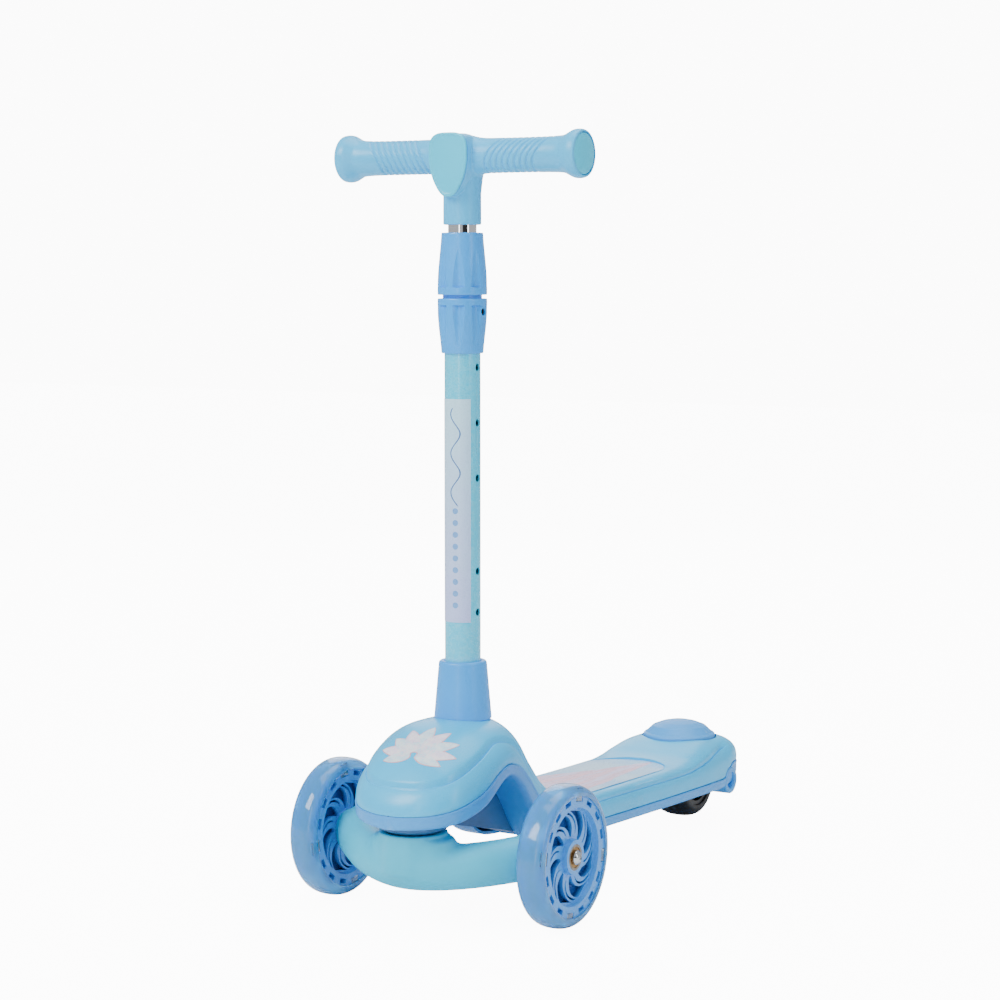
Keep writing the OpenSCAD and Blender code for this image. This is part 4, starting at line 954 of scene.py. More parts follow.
def lowerGrid(inset):
    rows = []
    angles = np.linspace(0, math.pi, 900)
    e = shellDetail["traySquare"]
    for y in shellRows():
        w, p, b = (float(curve(shellLines[k], y)) for k in ("width", "parting", "belly"))
        x = (w - inset) * np.sign(np.cos(angles)) * np.abs(np.cos(angles)) ** (2 / e)
        z = p - shellDetail["seam"] - (p - b - inset) * np.sin(angles) ** (2 / e)
        length = np.concatenate([[0], np.cumsum(np.hypot(np.diff(x), np.diff(z)))])
        share = np.linspace(0, 1, 91)
        at = length[-1] * (share - 0.05 * np.sin(4 * math.pi * share))
        rows.append(np.stack([np.interp(at, length, x), np.full_like(at, y), np.interp(at, length, z)], axis=1))
    return np.array(rows)


def buildBottomShell():
    ys = shellRows()
    outer = lowerGrid(0)
    # a thin lip stands out just under the seam
    fall = outer[:, :1, 2] - outer[:, :, 2]
    lip = shellDetail["lip"] * (1 - ease(fall, shellDetail["lipHeight"] * 0.6, shellDetail["lipHeight"]))
    lip *= ease(fall, -0.1, 0.7) * 0.6 + 0.4
    outer[:, :, 0] += np.sign(outer[:, :, 0]) * lip
    rings = hollowed(outer, lowerGrid(3), ys, 4)
    points = rings.reshape(-1, 3)
    faces = ringFaces(rings.shape[0], rings.shape[1])
    half, wide = openings["frameHalf"], openings["wheelWell"]
    slot = box3((-half, noseY + 20, 20), (half, frontY + 120.15, 140))
    bowl = prism(circle(openings["turret"]), 40, 140, centre=(0, kingpinY, 0))
    well = box3((-wide, rearY - 45, 0), (wide, rearY + 37, deckTop))
    cuts = [cutterOf(solid) for solid in (slot, bowl, well)]
    shell = finishPiece("bottom_shell", points, faces, "blueShell", "chassis", "blue_plastic",
                        ["deck_bottom_shell"], sharp=38, cuts=cuts)
    for side in (-1, 1):
        bore, radius, hole = lugSet["bore"], lugSet["radius"], lugSet["hole"]
        corner = [(bore, 0), (radius, 0), (radius, lugSet["long"]), (hole, lugSet["long"]), (hole, lugSet["floor"]),
                  (bore, lugSet["floor"])]
        profile = [(r, side * (lugSet["from"] + a)) for r, a in roundProfile(corner, lugSet["round"])]
        mesh = turned(profile, 96, "X", (0, rearY, rearAxle.z), close=True)
        finishPiece("axle_lug_" + ("left" if side > 0 else "right"), *mesh, "blueShell", "chassis", "blue_plastic")
    return shell


bottomShell = buildBottomShell()
print("bottom shell and axle lugs", len(bottomShell.data.vertices))


# petal spray on the dome

spraySet = {"heart": (4, frontY - 56, domeZ - 27), "lift": 0.16, "line": 0.9}
petals = [
    # direction in degrees, start, length, half width, film
    (196, 3, 24, 5.2, "petalIce"), (170, 4, 31, 6.0, "petalLilac"), (145, 4, 30, 6.2, "petalIce"),
    (120, 4, 33, 6.4, "petalLilac"), (93, 4, 36, 7.0, "petalIce"), (66, 4, 35, 6.4, "petalLilac"),
    (40, 4, 34, 6.2, "petalIce"), (15, 4, 31, 5.6, "petalLilac"), (-10, 3, 24, 4.8, "petalIce"),
]


def buildSpray():
    shape = bmesh.new()
    shape.from_mesh(topShell.data)
    tree = BVHTree.FromBMesh(shape)
    shape.free()
    heart = Vector(spraySet["heart"])
    start = (heart + Vector((0, -40, 60))) * mm
    hit, out, _, _ = tree.ray_cast(start, (heart * mm - start).normalized())
    side = Vector((1, 0, 0)).cross(out).normalized()
    right = side.cross(out).normalized()
    if right.x < 0:
        right = -right
    up = side if side.y > 0 else -side

    def petalMesh(angle, begin, length, width, grow, lift):
        a = math.radians(angle)
        along = right * math.cos(a) + up * math.sin(a)
        across = -right * math.sin(a) + up * math.cos(a)
        points, long, wide = [], 26, 9
        for layer in (lift, -0.06):
            for i in range(long):
                s = i / (long - 1)
                half = (width + grow) * math.sin(math.pi * min(1, 0.04 + s * 0.96) ** 0.8) ** 0.75 + 0.02
                for j in range(wide):
                    t = 2 * j / (wide - 1) - 1
                    reach = begin - grow + (length + 2 * grow) * s
                    spot = hit + (along * reach + across * (half * t)) * mm + out * 30 * mm
                    found, facing, _, _ = tree.ray_cast(spot, -out)
                    if found is None:
                        found, facing = spot - out * 30 * mm, out
                    if facing.dot(out) < 0:
                        facing = -facing
                    points.append((found + facing * layer * mm) / mm)
        n = long * wide
        faces = []
        for i in range(long - 1):
            for j in range(wide - 1):
                a0 = i * wide + j
                faces.append((a0, a0 + 1, a0 + wide + 1, a0 + wide))
                faces.append((n + a0, n + a0 + wide, n + a0 + wide + 1, n + a0 + 1))
        edge = list(range(wide)) + [i * wide + wide - 1 for i in range(1, long)]
        edge += [(long - 1) * wide + j for j in range(wide - 2, -1, -1)] + [i * wide for i in range(long - 2, 0, -1)]
        for a0, b0 in zip(edge, edge[1:] + edge[:1]):
            faces.append((a0, n + a0, n + b0, b0))
        return points, faces

    for look in ("petalIce", "petalLilac"):
        solids = [petalMesh(a, b, l, w, 0, spraySet["lift"] + 0.08) for a, b, l, w, film in petals if film == look]
        finishPiece("petals_" + look[5:].lower(), *together(*solids), look, "chassis", "printed_sticker", sharp=60)
    lines = [petalMesh(a, b, l, w, spraySet["line"], spraySet["lift"]) for a, b, l, w, _ in petals]
    finishPiece("petal_lines", *together(*lines), "petalLine", "chassis", "printed_sticker", sharp=60)


buildSpray()
print("petal spray ready")


# collars

collarSet = {"big": 20.9, "small": 17.5, "flutes": 8, "depth": 3.2, "spread": 0.105, "gap": 3, "holeDrop": 11,
             "hole": 3.25}


def scoop(angle, radius, depth):
    # one flute across: a round-bottomed cut that widens as it deepens
    pitch = 2 * math.pi / collarSet["flutes"]
    aside = ((angle / pitch) % 1 - 0.5) * pitch * radius
    return max(0.0, depth - collarSet["spread"] * aside * aside)


def flutedCollar(name, node, base, height, outline, inner, deep, hole=None):
    # outline(t) is the radius from bottom (0) to top (1); deep(t) the flutes' depth
    rows = np.unique(np.concatenate([np.linspace(0, 1, 70), np.linspace(0.1, 0.16, 16), np.linspace(0.84, 0.9, 16)]))
    profile = [(outline(0) - 0.9, base), (outline(0) - 0.35, base + 0.12), (outline(0) - 0.08, base + 0.5)]
    profile += [(outline(t), base + height * t) for t in rows if 0.9 < height * t < height - 0.9]
    profile += [(outline(1) - 0.08, base + height - 0.5), (outline(1) - 0.35, base + height - 0.12),
                (outline(1) - 0.9, base + height)]

    def shape(angle, along, radius):
        t = (along - base) / height
        if radius < 17 or not 0.02 < t < 0.98:
            return radius
        return radius - scoop(angle, radius, deep(t))

    mesh = turned(profile + inner, 384, "Z", (0, stemY, 0), shape, close=True)
    cuts = []
    if hole is not None:
        cuts = [cutterOf(prism(circle(collarSet["hole"], 48), 12, 30, "X", (0, stemY, hole)))]
    return finishPiece(name, *mesh, "blueCollar", *node, sharp=34, cuts=cuts)


footSet = {"bore": 15.4, "wide": 24.6, "narrow": 20.5}


def buildCollars():
    nutLow, nutHigh = corners("clamp_nut")
    nutBase, nutHeight = nutLow.z, nutHigh.z - nutLow.z
    fixedBase = corners("fixed_collar")[0].z
    fixedTop = nutBase - collarSet["gap"]
    big, small = collarSet["big"], collarSet["small"]

    def nutLine(t):
        return big - (big - small) * ease(t, 0.12, 1.15) * 1.04

    def nutDeep(t):
        return collarSet["depth"] * (1 - t - 0.26) / 0.62 * float(ease(t, 0.115, 0.13)) if t < 0.74 else 0.0

    nutInner = [(14.3, nutBase + nutHeight), (12.45, nutBase + nutHeight - 1), (12.45, nutBase + 34),
                (15.2, nutBase + 33), (15.2, nutBase + 29), (16.65, nutBase + 29), (16.65, nutBase)]
    flutedCollar("clamp_sleeve", ("clamp_ring", "blue_plastic", ["clamp_nut"]), nutBase, nutHeight, nutLine, nutInner,
                 nutDeep)

    height = fixedTop - fixedBase

    def fixedLine(t):
        return small + (big - small) * float(ease(t, -0.15, 0.82))

    def fixedDeep(t):
        return collarSet["depth"] * (t - 0.12) / 0.76 * float(ease(1 - t, 0.115, 0.13)) if t > 0.12 else 0.0

    fixedInner = [(16.55, fixedTop), (16.55, fixedTop + 27.4), (15.9, fixedTop + 28), (13.4, fixedTop + 28),
                  (13.4, fixedTop - 1.85), (15.4, fixedTop - 1.85), (15.4, fixedBase)]
    flutedCollar("fixed_sleeve", ("chassis", "blue_plastic", ["fixed_collar"]), fixedBase, height, fixedLine,
                 fixedInner, fixedDeep, hole=fixedTop - collarSet["holeDrop"])
    # painted shade: a black plug shaped as a screw head fills the fixed collar's hole, so that the hole shows dark
    head = [(0.2, 14), (3.0, 14), (3.0, 19.0), (2.7, 19.4), (1.5, 19.4), (1.3, 18.2), (0.2, 18.2)]
    mesh = turned(head, 64, "X", (0, stemY, fixedTop - collarSet["holeDrop"]))
    finishPiece("collar_hole_shade", *mesh, "blackNylon", "chassis", "black_plastic")
    low, high = (corner.z for corner in corners("base_collar"))
    bore, wide, narrow = footSet["bore"], footSet["wide"], footSet["narrow"]
    profile = [(bore, low), (wide - 0.6, low), (wide, low + 0.9), (wide - 0.25, low + 4), (narrow, high - 1.4),
               (narrow - 1.3, high), (bore + 0.8, high), (bore, high - 0.8)]
    mesh = turned(roundProfile(profile + [profile[0]], 1.2)[:-1], 160, "Z", (0, stemY, 0), close=True)
    finishPiece("stem_foot", *mesh, "blueCollar", "chassis", "blue_plastic", ["base_collar"])


buildCollars()
print("collars ready")


# handlebar

barSet = {"end": 117, "arm": 14.6, "flare": 20.2, "hump": 19.4, "teeDrop": 57, "bore": 12.02, "capSeat": 17.75,
          "gripStart": 28, "grooves": 9, "pitch": 5.7, "groove": 1.35, "grooveWidth": 1.15, "sweep": 15,
          "voxel": 0.62}


def shieldOutline(halfWidth, top, low, steps=120):
    points = []
    for i in range(steps):
        a = 2 * math.pi * i / steps
        c, s = math.cos(a), math.sin(a)
        w = halfWidth * (1 - 0.36 * (-s) ** 2.2 if s < 0 else 1)
        x = w * math.copysign(abs(c) ** 0.62, c)
        points.append((x, top * s ** 0.55 if s > 0 else low * s))
    return points


def rebuilt(name, solids, voxel):
    # one skin over several overlapping solids
    points, faces = together(*solids)
    mesh = bpy.data.meshes.new(name)
    mesh.from_pydata([tuple(p) for p in points], [], faces)
    shape = bmesh.new()
    shape.from_mesh(mesh)
    bmesh.ops.recalc_face_normals(shape, faces=shape.faces)
    shape.to_mesh(mesh)
    shape.free()
    piece = bpy.data.objects.new(name, mesh)
    bpy.context.scene.collection.objects.link(piece)
    skin = piece.modifiers.new("skin", "REMESH")
    skin.mode = "VOXEL"
    skin.voxel_size = voxel
    skin.use_smooth_shade = True
    settle(piece)
    return piece


def meshArray(mesh):
    flat = np.empty(len(mesh.vertices) * 3, np.float32)
    mesh.vertices.foreach_get("co", flat)
    return flat.reshape(-1, 3).astype(float)


def edgePairs(mesh):
    edges = np.empty(len(mesh.edges) * 2, np.int32)
    mesh.edges.foreach_get("vertices", edges)
    return edges.reshape(-1, 2)


def smoothed(points, mesh, weight, shares):
    # moves each vertex towards the middle of its neighbours, once for each share
    edges = edgePairs(mesh)
    count = np.bincount(edges.ravel(), minlength=len(points)).clip(1)[:, None]
    for share in shares:
        total = np.zeros_like(points)
        np.add.at(total, edges[:, 0], points[edges[:, 1]])
        np.add.at(total, edges[:, 1], points[edges[:, 0]])
        points = points + (total / count - points) * (share * weight[:, None])
    return points


def relax(mesh, rounds, weight):
    # every second pass pushes back, so that the shape doesn't shrink
    return smoothed(meshArray(mesh), mesh, weight, [0.5 if k % 2 == 0 else -0.51 for k in range(rounds)])


def writePoints(mesh, points):
    mesh.vertices.foreach_set("co", points.astype(np.float32).ravel())
    mesh.update()


def fillet(points, mesh, rounds, weight):
    # plain smoothing, strong where weight is high, for the blends between parts
    return smoothed(points, mesh, weight, [0.6] * rounds)


def buildBar():
    end = barSet["end"]
    arm, flare = barSet["arm"], barSet["flare"]
    half = [(0, 18), (8, 17.6), (16, 15.8), (24, 14.9), (32, arm), (end - 42, arm), (end - 24, 15.0),
            (end - 17, 15.8), (end - 12, 18.0), (end - 8, flare - 0.4), (end - 4, flare), (end - 1, flare - 0.5),
            (end, flare - 1.2)]
    xs = np.linspace(-end, end, 320)
    radii = curve(half, np.abs(xs))
    arms = turned([(float(r), float(x)) for x, r in zip(xs, radii)], 72, "X", (0, stemY, barZ))
    hump = barSet["hump"]
    ball = turned([(hump * math.sin(a), barZ - hump * math.cos(a)) for a in np.linspace(0.05, math.pi - 0.05, 40)],
                  72, "Z", (0, stemY, 0))
    teeLow = barZ - barSet["teeDrop"]
    tee = turned([(15.4, teeLow + 0.01), (16, teeLow + 0.7), (16, teeLow + 26), (17.6, teeLow + 40),
                  (hump, barZ - 8)], 72, "Z", (0, stemY, 0))
    plinth = shieldOutline(18.2, 18.6, 33.6)
    points, n = [], len(plinth)
    for y in (stemY - 4, stemY - 20.5):
        points += [(x, y, z + barZ) for x, z in plinth]
    faces = [tuple(range(n)), tuple(range(2 * n - 1, n - 1, -1))]
    faces += [(j, n + j, n + (j + 1) % n, (j + 1) % n) for j in range(n)]
    piece = rebuilt("t_bar_body", [arms, ball, tee, (points, faces)], barSet["voxel"])
    mesh = piece.data
    points = relax(mesh, 24, np.ones(len(mesh.vertices)))
    local = points - np.array([0, stemY, barZ])
    near = 1 - ease(np.abs(local[:, 0]), 20, 34)
    low = ease(local[:, 2], -44, -32)
    flatFace = ease(-local[:, 1], 8, 11)
    points = fillet(points, mesh, 40, near * low * (1 - flatFace))
    local = points - np.array([0, stemY, barZ])
    radius = np.hypot(local[:, 1], local[:, 2])
    reach = np.abs(local[:, 0]) - barSet["sweep"] * ((1 + local[:, 2] / np.maximum(radius, 1)) / 2) ** 2
    phase = (reach - barSet["gripStart"]) / barSet["pitch"]
    index = np.round(phase)
    fromLine = np.abs(phase - index) * barSet["pitch"]
    inside = (index >= 0) & (index < barSet["grooves"])
    groove = np.exp(-(fromLine / barSet["grooveWidth"]) ** 2 * 1.6) * barSet["groove"] * inside
    groove *= 1 - ease(np.abs(local[:, 0]), 91, 96)
    pull = groove / np.maximum(radius, 1)
    points[:, 1] -= local[:, 1] * pull
    points[:, 2] -= local[:, 2] * pull
    writePoints(mesh, points)
    # bore for the inner tube, seats for the caps
    bore = prism(circle(barSet["bore"], 96), teeLow - 1, barZ - 6, centre=(0, stemY, 0))
    seats = [alongX(barSet["capSeat"], low, high, (stemY, barZ)) for low, high in ((115, 125), (-125, -115))]
    carve(piece, (bore, *seats))
    dress(piece, "barBlue", "handlebar", "grip_plastic", ["t_bar"], sharp=50)


buildBar()
print("handlebar ready")


badgeSet = {"forward": 21.5, "halfWidth": 18.5, "top": 19, "low": 34}
capProfile = [(17.3, -2), (17.3, -1.3), (17.1, -0.7), (16.5, -0.2), (15, 0.4), (12.5, 0.85), (10, 1.15), (7, 1.36),
              (4, 1.46), (0.4, 1.5)]


def buildBadge():
    faceY = stemY - badgeSet["forward"]
    rings, steps = [], 120
    # inset, how far out of the plinth
    rise = [(1.8, -1.4), (1.8, 0.7), (0.3, 0.8), (0.0, 1.1), (0.0, 1.6), (0.25, 2.05), (0.7, 2.42), (1.3, 2.6),
            (2.0, 2.6), (2.5, 2.45), (2.9, 2.2), (3.4, 2.12), (5.5, 2.2), (8.5, 2.3), (12.5, 2.4), (16.5, 2.45)]
    for inset, out in rise:
        outline = shieldOutline(*(badgeSet[k] - inset for k in ("halfWidth", "top", "low")), steps)
        rings += [(x, faceY - out, z + barZ) for x, z in outline]
    last = (len(rise) - 1) * steps
    faces = loopFaces(len(rise), steps) + [tuple(range(steps - 1, -1, -1)), tuple(range(last, last + steps))]
    finishPiece("badge_plate", rings, faces, "brightCyan", "handlebar", "bright_cyan", ["t_bar_badge"], sharp=45)
    for side, node in ((1, "end_cap_left"), (-1, "end_cap_right")):
        mesh = turned([(r, side * (barSet["end"] + a)) for r, a in capProfile], 128, "X", (0, stemY, barZ))
        finishPiece("cap_" + node[8:], *mesh, "brightCyan", "handlebar", "bright_cyan", [node], sharp=35)


buildBadge()
print("badge and caps ready")


# front beam

beamSet = {"endX": 96, "bow": 62, "midZ": 50, "round": 18.8, "voxel": 1.15, "turret": 28.6, "leanBall": 60.8,
           "kingpinLean": 10, "kingpin": 7.02, "nutPocket": 10, "axle": 4.02}


def beamPoint(t):
    return Vector((beamSet["endX"] * t, frontY - beamSet["bow"] * (1 - abs(t) ** 1.75),
                   beamSet["midZ"] + (frontAxle.z - beamSet["midZ"]) * t * t))


def buildBeam():
    steps, sides, reach = 90, 40, 0.97
    points = []
    for i in range(steps + 1):
        t = -reach + 2 * reach * i / steps
        p, d = beamPoint(t), beamPoint(t + 0.01) - beamPoint(t - 0.01)
        n = Vector((d.y, -d.x, 0)).normalized()
        high = beamSet["round"] + 0.4
        for j in range(sides):
            a = 2 * math.pi * j / sides
            c, s = math.cos(a), math.sin(a)
            flat = math.copysign(abs(s) ** 0.9, s)
            q = p + n * (high - 2) * math.copysign(abs(c) ** 0.9, c) + Vector((0, 0, high * flat))
            points.append(tuple(q))
    faces = loopFaces(steps + 1, sides)
    faces += [tuple(range(sides - 1, -1, -1)), tuple(range(steps * sides, (steps + 1) * sides))]
    solids = [(points, faces)]
    for side in (-1, 1):
        profile = [(19.0, 76), (19.4, 84), (19.4, 94.2), (18.6, 95.6), (17.2, 96.0)]
        solids.append(turned([(r, side * a) for r, a in profile], 96, "X", (0, frontY, frontAxle.z)))
    solids.append(turned([(beamSet["turret"], beamSet["midZ"] - 6), (beamSet["turret"], deckTop + 2.5)], 128, "Z",
                         (0, kingpinY, 0)))
    shoulders = [(38 * math.cos(a), 25 * math.sin(a)) for a in np.linspace(0, 2 * math.pi, 97)[:-1]]
    solids.append(prism(shoulders, beamSet["midZ"] - 6, deckTop - 1, centre=(0, kingpinY + 1, 0)))
    piece = rebuilt("axle_beam", solids, beamSet["voxel"])
    mesh = piece.data
    points = meshArray(mesh)
    endKeep = 1 - ease(np.abs(points[:, 0]), 88, 93)
    topKeep = 1 - ease(points[:, 2], deckTop - 3, deckTop)
    points = fillet(points, mesh, 46, endKeep * topKeep)
    # shallow dishes on both sides of the turret
    for side in (-1, 1):
        spot = np.array([side * 44.0, kingpinY - 12, deckTop - 8])
        near = np.exp(-np.sum((points - spot) ** 2 / np.array([16, 12, 10.0]) ** 2, axis=1))
        points[:, 2] -= 2.6 * near
    writePoints(mesh, points)
    leanC = Vector((0, kingpinY, deckTop + 58.5))
    big = beamSet["leanBall"]
    ball = turned([(big * math.sin(a), leanC.z - big * math.cos(a)) for a in np.linspace(0.004, 1.4, 70)], 160, "Z",
                  (0, kingpinY, 0))
    pinAxis = Matrix.Translation(leanC) @ Matrix.Rotation(math.radians(beamSet["kingpinLean"]), 4, "X")
    holes = []
    for radius, low, high in ((beamSet["kingpin"], -93, -50), (beamSet["nutPocket"], -130, -95)):
        pin = prism(circle(radius, 64), low, high)
        holes.append(([tuple(pinAxis @ Vector(p)) for p in pin[0]], pin[1]))
    for side in (-1, 1):
        low, high = sorted((side * 70, side * 99))
        holes.append(alongX(beamSet["axle"], low, high, (frontY, frontAxle.z), 48))
    carve(piece, (ball, *holes))
    dress(piece, "beamAqua", "steering_beam", "beam_plastic", ["front_beam"], sharp=48)


buildBeam()
print("front beam ready")


# front wheels

wheelSet = {"radius": 60, "halfWidth": 13, "rimOut": 51, "rimIn": 40, "rimHalf": 11.4, "plateHalf": 7,
            "bossOut": 15.2, "bearing": 11.01, "slots": 16, "turn": 9, "light": (22.6, 11, 11)}


def turnX(points, degrees):
    c, s = math.cos(math.radians(degrees)), math.sin(math.radians(degrees))
    return [(x, y * c - z * s, y * s + z * c) for x, y, z in points]


def lightBoxes(grow, turn):
    solids, size = [], wheelSet["light"]
    for k in range(4):
        low = (-size[0] / 2 - grow, -size[1] / 2 - grow, wheelSet["rimOut"] - 5 - grow)
        high = (size[0] / 2 + grow, size[1] / 2 + grow, wheelSet["rimOut"] - 5 + size[2] + grow)
        solid = box3(low, high)
        solids.append((turnX(solid[0], turn + 90 * k), solid[1]))
    return solids


def tyreSection():
    # crown, rounded shoulders, side walls and the seat round the rim
    outer, edge = [], wheelSet["rimOut"] + 0.2
    for a in np.linspace(0, math.pi, 40):
        x = -wheelSet["halfWidth"] * math.copysign(abs(math.cos(a)) ** 0.78, math.cos(a))
        outer.append((edge + (wheelSet["radius"] - edge) * abs(math.sin(a)) ** 0.72, x))
    seat = wheelSet["rimOut"] + 0.05
    walls = [(50.6, 12.7), (seat, 11.8), (seat, -11.8), (50.6, -12.7)]
    return outer + walls


def pocketOutline(low, high, width, sweep, turn, steps=22):
    sides = []
    for k in (-1, 1):
        line = []
        for i in range(steps + 1):
            t = i / steps
            r = low + (high - low) * t
            a = math.radians(sweep * t * t + turn + k * width * (0.3 + 0.7 * math.sin(math.pi / 2 * t)) / 2)
            line.append((r * math.cos(a), r * math.sin(a)))
        sides.append(line)
    return sides[0] + sides[1][::-1]


def softened(outline, radius, steps=5):
    # the closed outline with rounded corners
    out, n = [], len(outline)
    for i in range(n):
        b, p, a = Vector(outline[i - 1]), Vector(outline[i]), Vector(outline[(i + 1) % n])
        if (p - b).length < 1e-6 or (a - p).length < 1e-6 or (p - b).angle(a - p) < 0.5:
            out.append((p.x, p.y))
            continue
        cut = min(radius, (b - p).length * 0.95, (a - p).length * 0.95)
        start, end = p + (b - p).normalized() * cut, p + (a - p).normalized() * cut
        for k in range(steps + 1):
            t = k / steps
            q = start * (1 - t) ** 2 + p * 2 * t * (1 - t) + end * t ** 2
            out.append((q.x, q.y))
    return out


def hubMesh(turn):
    rimIn, rimOut, rimHalf = wheelSet["rimIn"], wheelSet["rimOut"], wheelSet["rimHalf"]
    plate, boss = wheelSet["plateHalf"], wheelSet["bossOut"]
    halfSide = [(8.2, 12), (boss - 0.6, 12), (boss, plate), (rimIn, plate), (rimIn + 1, rimHalf), (rimOut, rimHalf)]
    section = [(r, -x) for r, x in halfSide] + halfSide[::-1]
    points, faces = turned(section, 192, "X", close=True)
    cutters = []
    for low, high in ((1.5, 20), (-20, -1.5)):
        for i in range(8):
            big = pocketOutline(16.4, 39.2, 29, 34, 45 * i)
            thin = pocketOutline(19.5, 38.6, 6.5, 34, 45 * i + 22.5)
            for outline in (big, thin):
                cutters.append(prism(softened(outline, 1.5), low, high, "X"))
        cutters.append(prism(circle(wheelSet["bearing"], 96), *((5, 20) if low > 0 else (-20, -5)), "X"))
    for k in range(wheelSet["slots"]):
        if k % 4:
            slot = box3((-20, -4.5, 44.9), (20, 4.5, 49.0))
            cutters.append((turnX(slot[0], turn + 22.5 * k), slot[1]))
    cutters += lightBoxes(0.15, turn)
    mesh = bpy.data.meshes.new("hub")
    mesh.from_pydata([tuple(p) for p in points], [], faces)
    piece = bpy.data.objects.new("hub", mesh)
    bpy.context.scene.collection.objects.link(piece)
    carve(piece, [together(*cutters)], selfCut=True)
    shape = bmesh.new()
    shape.from_mesh(piece.data)
    bmesh.ops.remove_doubles(shape, verts=shape.verts, dist=0.02)
    bmesh.ops.dissolve_limit(shape, angle_limit=math.radians(0.5), verts=shape.verts, edges=shape.edges)
    shape.to_mesh(piece.data)
    shape.free()
    edge = piece.modifiers.new("edge", "BEVEL")
    edge.width, edge.segments, edge.limit_method, edge.angle_limit = 0.4, 2, "ANGLE", math.radians(40)
    edge.use_clamp_overlap = True
    settle(piece)
    result = piece.data
    bpy.data.objects.remove(piece)
    return result


def lightMesh(turn):
    # the clear blocks
    solids = []
    for k in range(4):
        solid = box3((-11.2, -5.4, 46.1), (11.2, 5.4, 56.8))
        solids.append((turnX(solid[0], turn + 90 * k), solid[1]))
    return together(*solids)


def chipMesh(turn):
    # the chip inside each block, over a small plate
    solids = []
    for k in range(4):
        for low, high in (((-2.2, -2.0, 50.5), (2.2, 2.0, 52.2)), ((-5.6, -4.4, 46.9), (5.6, 4.4, 47.6))):
            solid = box3(low, high)
            solids.append((turnX(solid[0], turn + 90 * k), solid[1]))
    return together(*solids)


def buildFrontWheels():
    for side, label in ((1, "left"), (-1, "right")):
        turn = -side * wheelSet["turn"]
        body = "front_wheel_" + label
        centre = (middle("front_hub_" + label).x, frontY, frontAxle.z)
        points, faces = turned(tyreSection(), 192, "X", close=True)
        shift = np.array(centre)
        cuts = [cutterOf((np.array(p) + shift, f)) for p, f in lightBoxes(0.15, turn)]
        finishPiece("tyre_" + label, np.array(points) + shift, faces, "clearTyre", body, "clear_tyre",
                    ["front_tyre_" + label], sharp=40, cuts=cuts)
        mesh = hubMesh(turn)
        mesh.transform(Matrix.Translation(centre) @ Matrix.Diagonal((side, 1, 1, 1)))
        piece = bpy.data.objects.new("hub_" + label, mesh)
        bpy.context.scene.collection.objects.link(piece)
        dress(piece, "wheelBlue", body, "wheel_blue", ["front_hub_" + label], sharp=35)
        for name, look, solid in (("light_block_", "lightBlock", lightMesh(turn)),
                                  ("light_chip_", "whiteNylon", chipMesh(turn))):
            stands = ["front_lights_" + label] if look == "lightBlock" else []
            finishPiece(name + label, np.array(solid[0]) + shift, solid[1], look, body, "light_module", stands,
                        sharp=30, bevel=0.35)


buildFrontWheels()
print("front wheels ready")


# rear wheel and brake pedal

rearSet = {"radius": 40, "halfWidth": 19, "shoulder": 29.5, "lines": (12.0, 14.2), "lineDepth": 0.35}


def buildRearWheel():
    outer = []
    for a in np.linspace(0, math.pi, 46):
        x = -rearSet["halfWidth"] * math.copysign(abs(math.cos(a)) ** 0.85, math.cos(a))
        rise = rearSet["radius"] - rearSet["shoulder"]
        outer.append((rearSet["shoulder"] + rise * abs(math.sin(a)) ** 0.62, x))
    outline = outer + [(28.3, 18.6), (28, 17.6), (28, -17.6), (28.3, -18.6)]

    def shape(angle, along, radius):
        # two thin lines round each shoulder
        cut = sum(math.exp(-((abs(along) - at) / 0.28) ** 2) for at in rearSet["lines"]) if radius > 36 else 0
        return radius - rearSet["lineDepth"] * cut

    points, faces = turned(outline, 160, "X", (0, rearY, rearAxle.z), shape, close=True)
    finishPiece("tyre_rear", points, faces, "blackRubber", "rear_wheel", "black_rubber", ["rear_tyre"], sharp=40)


buildRearWheel()


pedalSet = {"radius": 35.5, "height": 19.4, "armHalf": 14, "tyreGap": 5.5, "pinHole": 2.55}


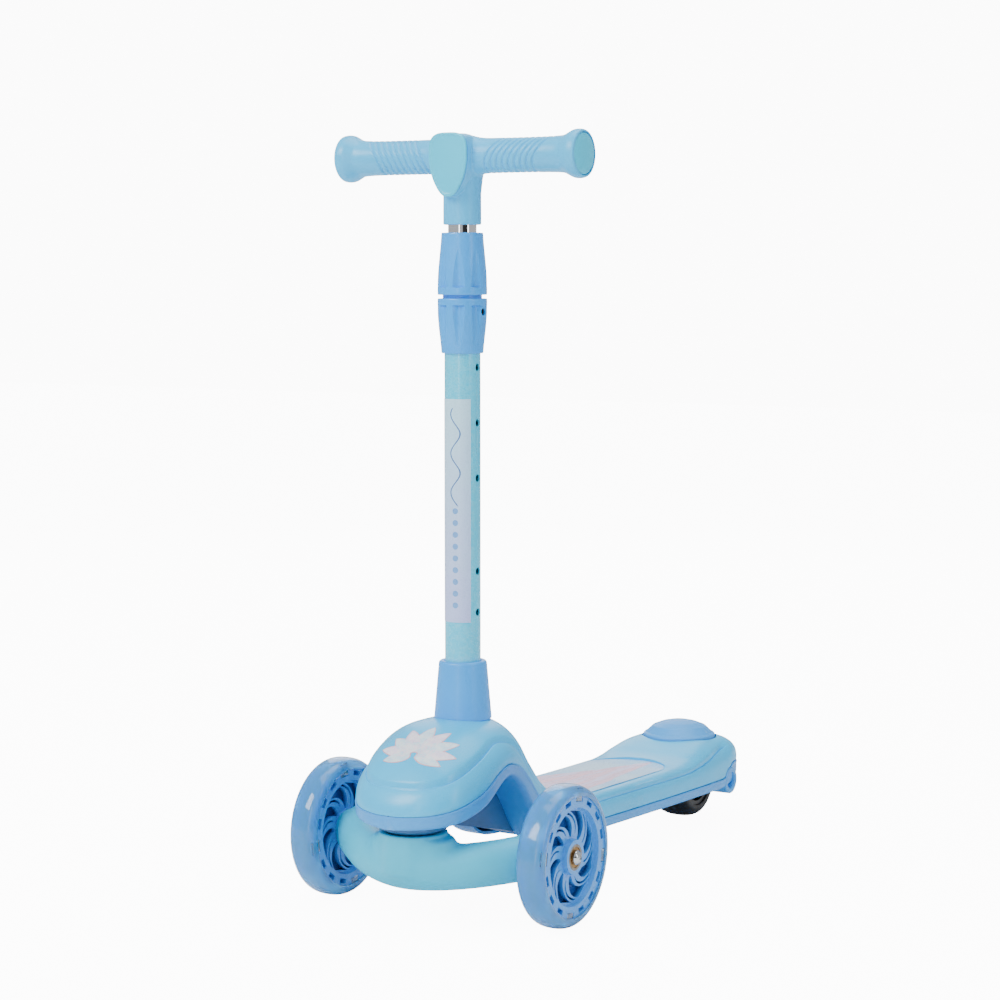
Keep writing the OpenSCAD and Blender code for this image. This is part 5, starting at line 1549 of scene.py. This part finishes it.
def buildPedal():
    r, top, half = pedalSet["radius"], pedalSet["height"], pedalSet["armHalf"]
    low = corners("brake_pedal")[1].z - top
    outline = roundProfile([(0.3, top), (8.8, 18.95), (17.7, 17.0), (26.2, 13.6), (31.5, 8.5), (32.5, 7.5),
                            (34.6, 6.6), (r, 5.4), (r, 0.4), (r - 0.5, 0), (r - 2.5, 0), (r - 3, 0.5), (r - 3, 3),
                            (r - 7, 6), (24.8, 11), (12, 14.6), (0.3, 15.5)], 0.9)
    points, faces = turned([(radius, low + z) for radius, z in outline], 192, "Z", (0, pedalY, 0))
    finishPiece("pedal_cap", points, faces, "blueShell", "brake", "blue_plastic", ["brake_pedal"], sharp=34)
    pivot = middle("brake_pin")
    solids = [box3((-half, pivot.y, pivot.z - 4), (half, pivot.y + 24, pivot.z + 4)),
              box3((-half, pedalY - r + 3.2, pivot.z - 4), (half, pedalY - r + 10.2, low + 4)),
              box3((-11, rearY - 9, low + 1), (11, rearY + 9, low + 15)),
              alongX(5, -15, 15, (pivot.y, pivot.z), 48)]
    arm = rebuilt("pedal_arm", solids, 0.6)
    points = relax(arm.data, 10, np.ones(len(arm.data.vertices)))
    writePoints(arm.data, points)
    wheel = alongX(rearSet["radius"] + pedalSet["tyreGap"], -22, 22, (rearY, rearAxle.z), 128)
    pin = alongX(pedalSet["pinHole"], -30, 30, (pivot.y, pivot.z), 48)
    carve(arm, (wheel, pin))
    dress(arm, "blueShell", "brake", "blue_plastic", sharp=45)


buildPedal()
print("rear wheel and pedal ready")


# CAD nodes that keep their shape

keptLooks = {
    # the neck frame wears painted shade, a darkened copy of the shell's blue
    "frameShadedBlue": ["neck_frame"], "tubePaint": ["outer_tube"], "tubeLabelFilm": ["tube_label"],
    "deckStickerFilm": ["deck_sticker"], "chrome": ["inner_tube"], "whiteNylon": ["kingpin_bush"],
    # the clamp collet is black as painted shade, so that the collar's hole shows dark
    "blackNylon": ["clamp_collet", "guide_bush", "height_button", "axle_washer_left", "axle_washer_right",
                   "front_spacer_left", "front_spacer_right", "rear_hub", "rear_spacer", "rear_washers"],
    "zincSteel": ["deck_screws", "t_bar_rivet", "kingpin_bolt", "kingpin_nut", "rear_axle", "rear_axle_nut",
                  "brake_pin", "brake_shoe"],
    "springSteel": ["centring_spring", "brake_spring", "button_spring"],
    "boltSteel": ["front_axle_left", "front_axle_right"],
    "frontBearing": ["front_bearings_left", "front_bearings_right"],
    "rearBearing": ["rear_bearings"],
}
for look, nodes in keptLooks.items():
    for node in nodes:
        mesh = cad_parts[node].data
        mesh.materials.clear()
        mesh.materials.append(looks[look])
        mesh.shade_smooth()
        mesh.set_sharp_from_angle(angle=math.radians(35))
print("kept nodes finished")
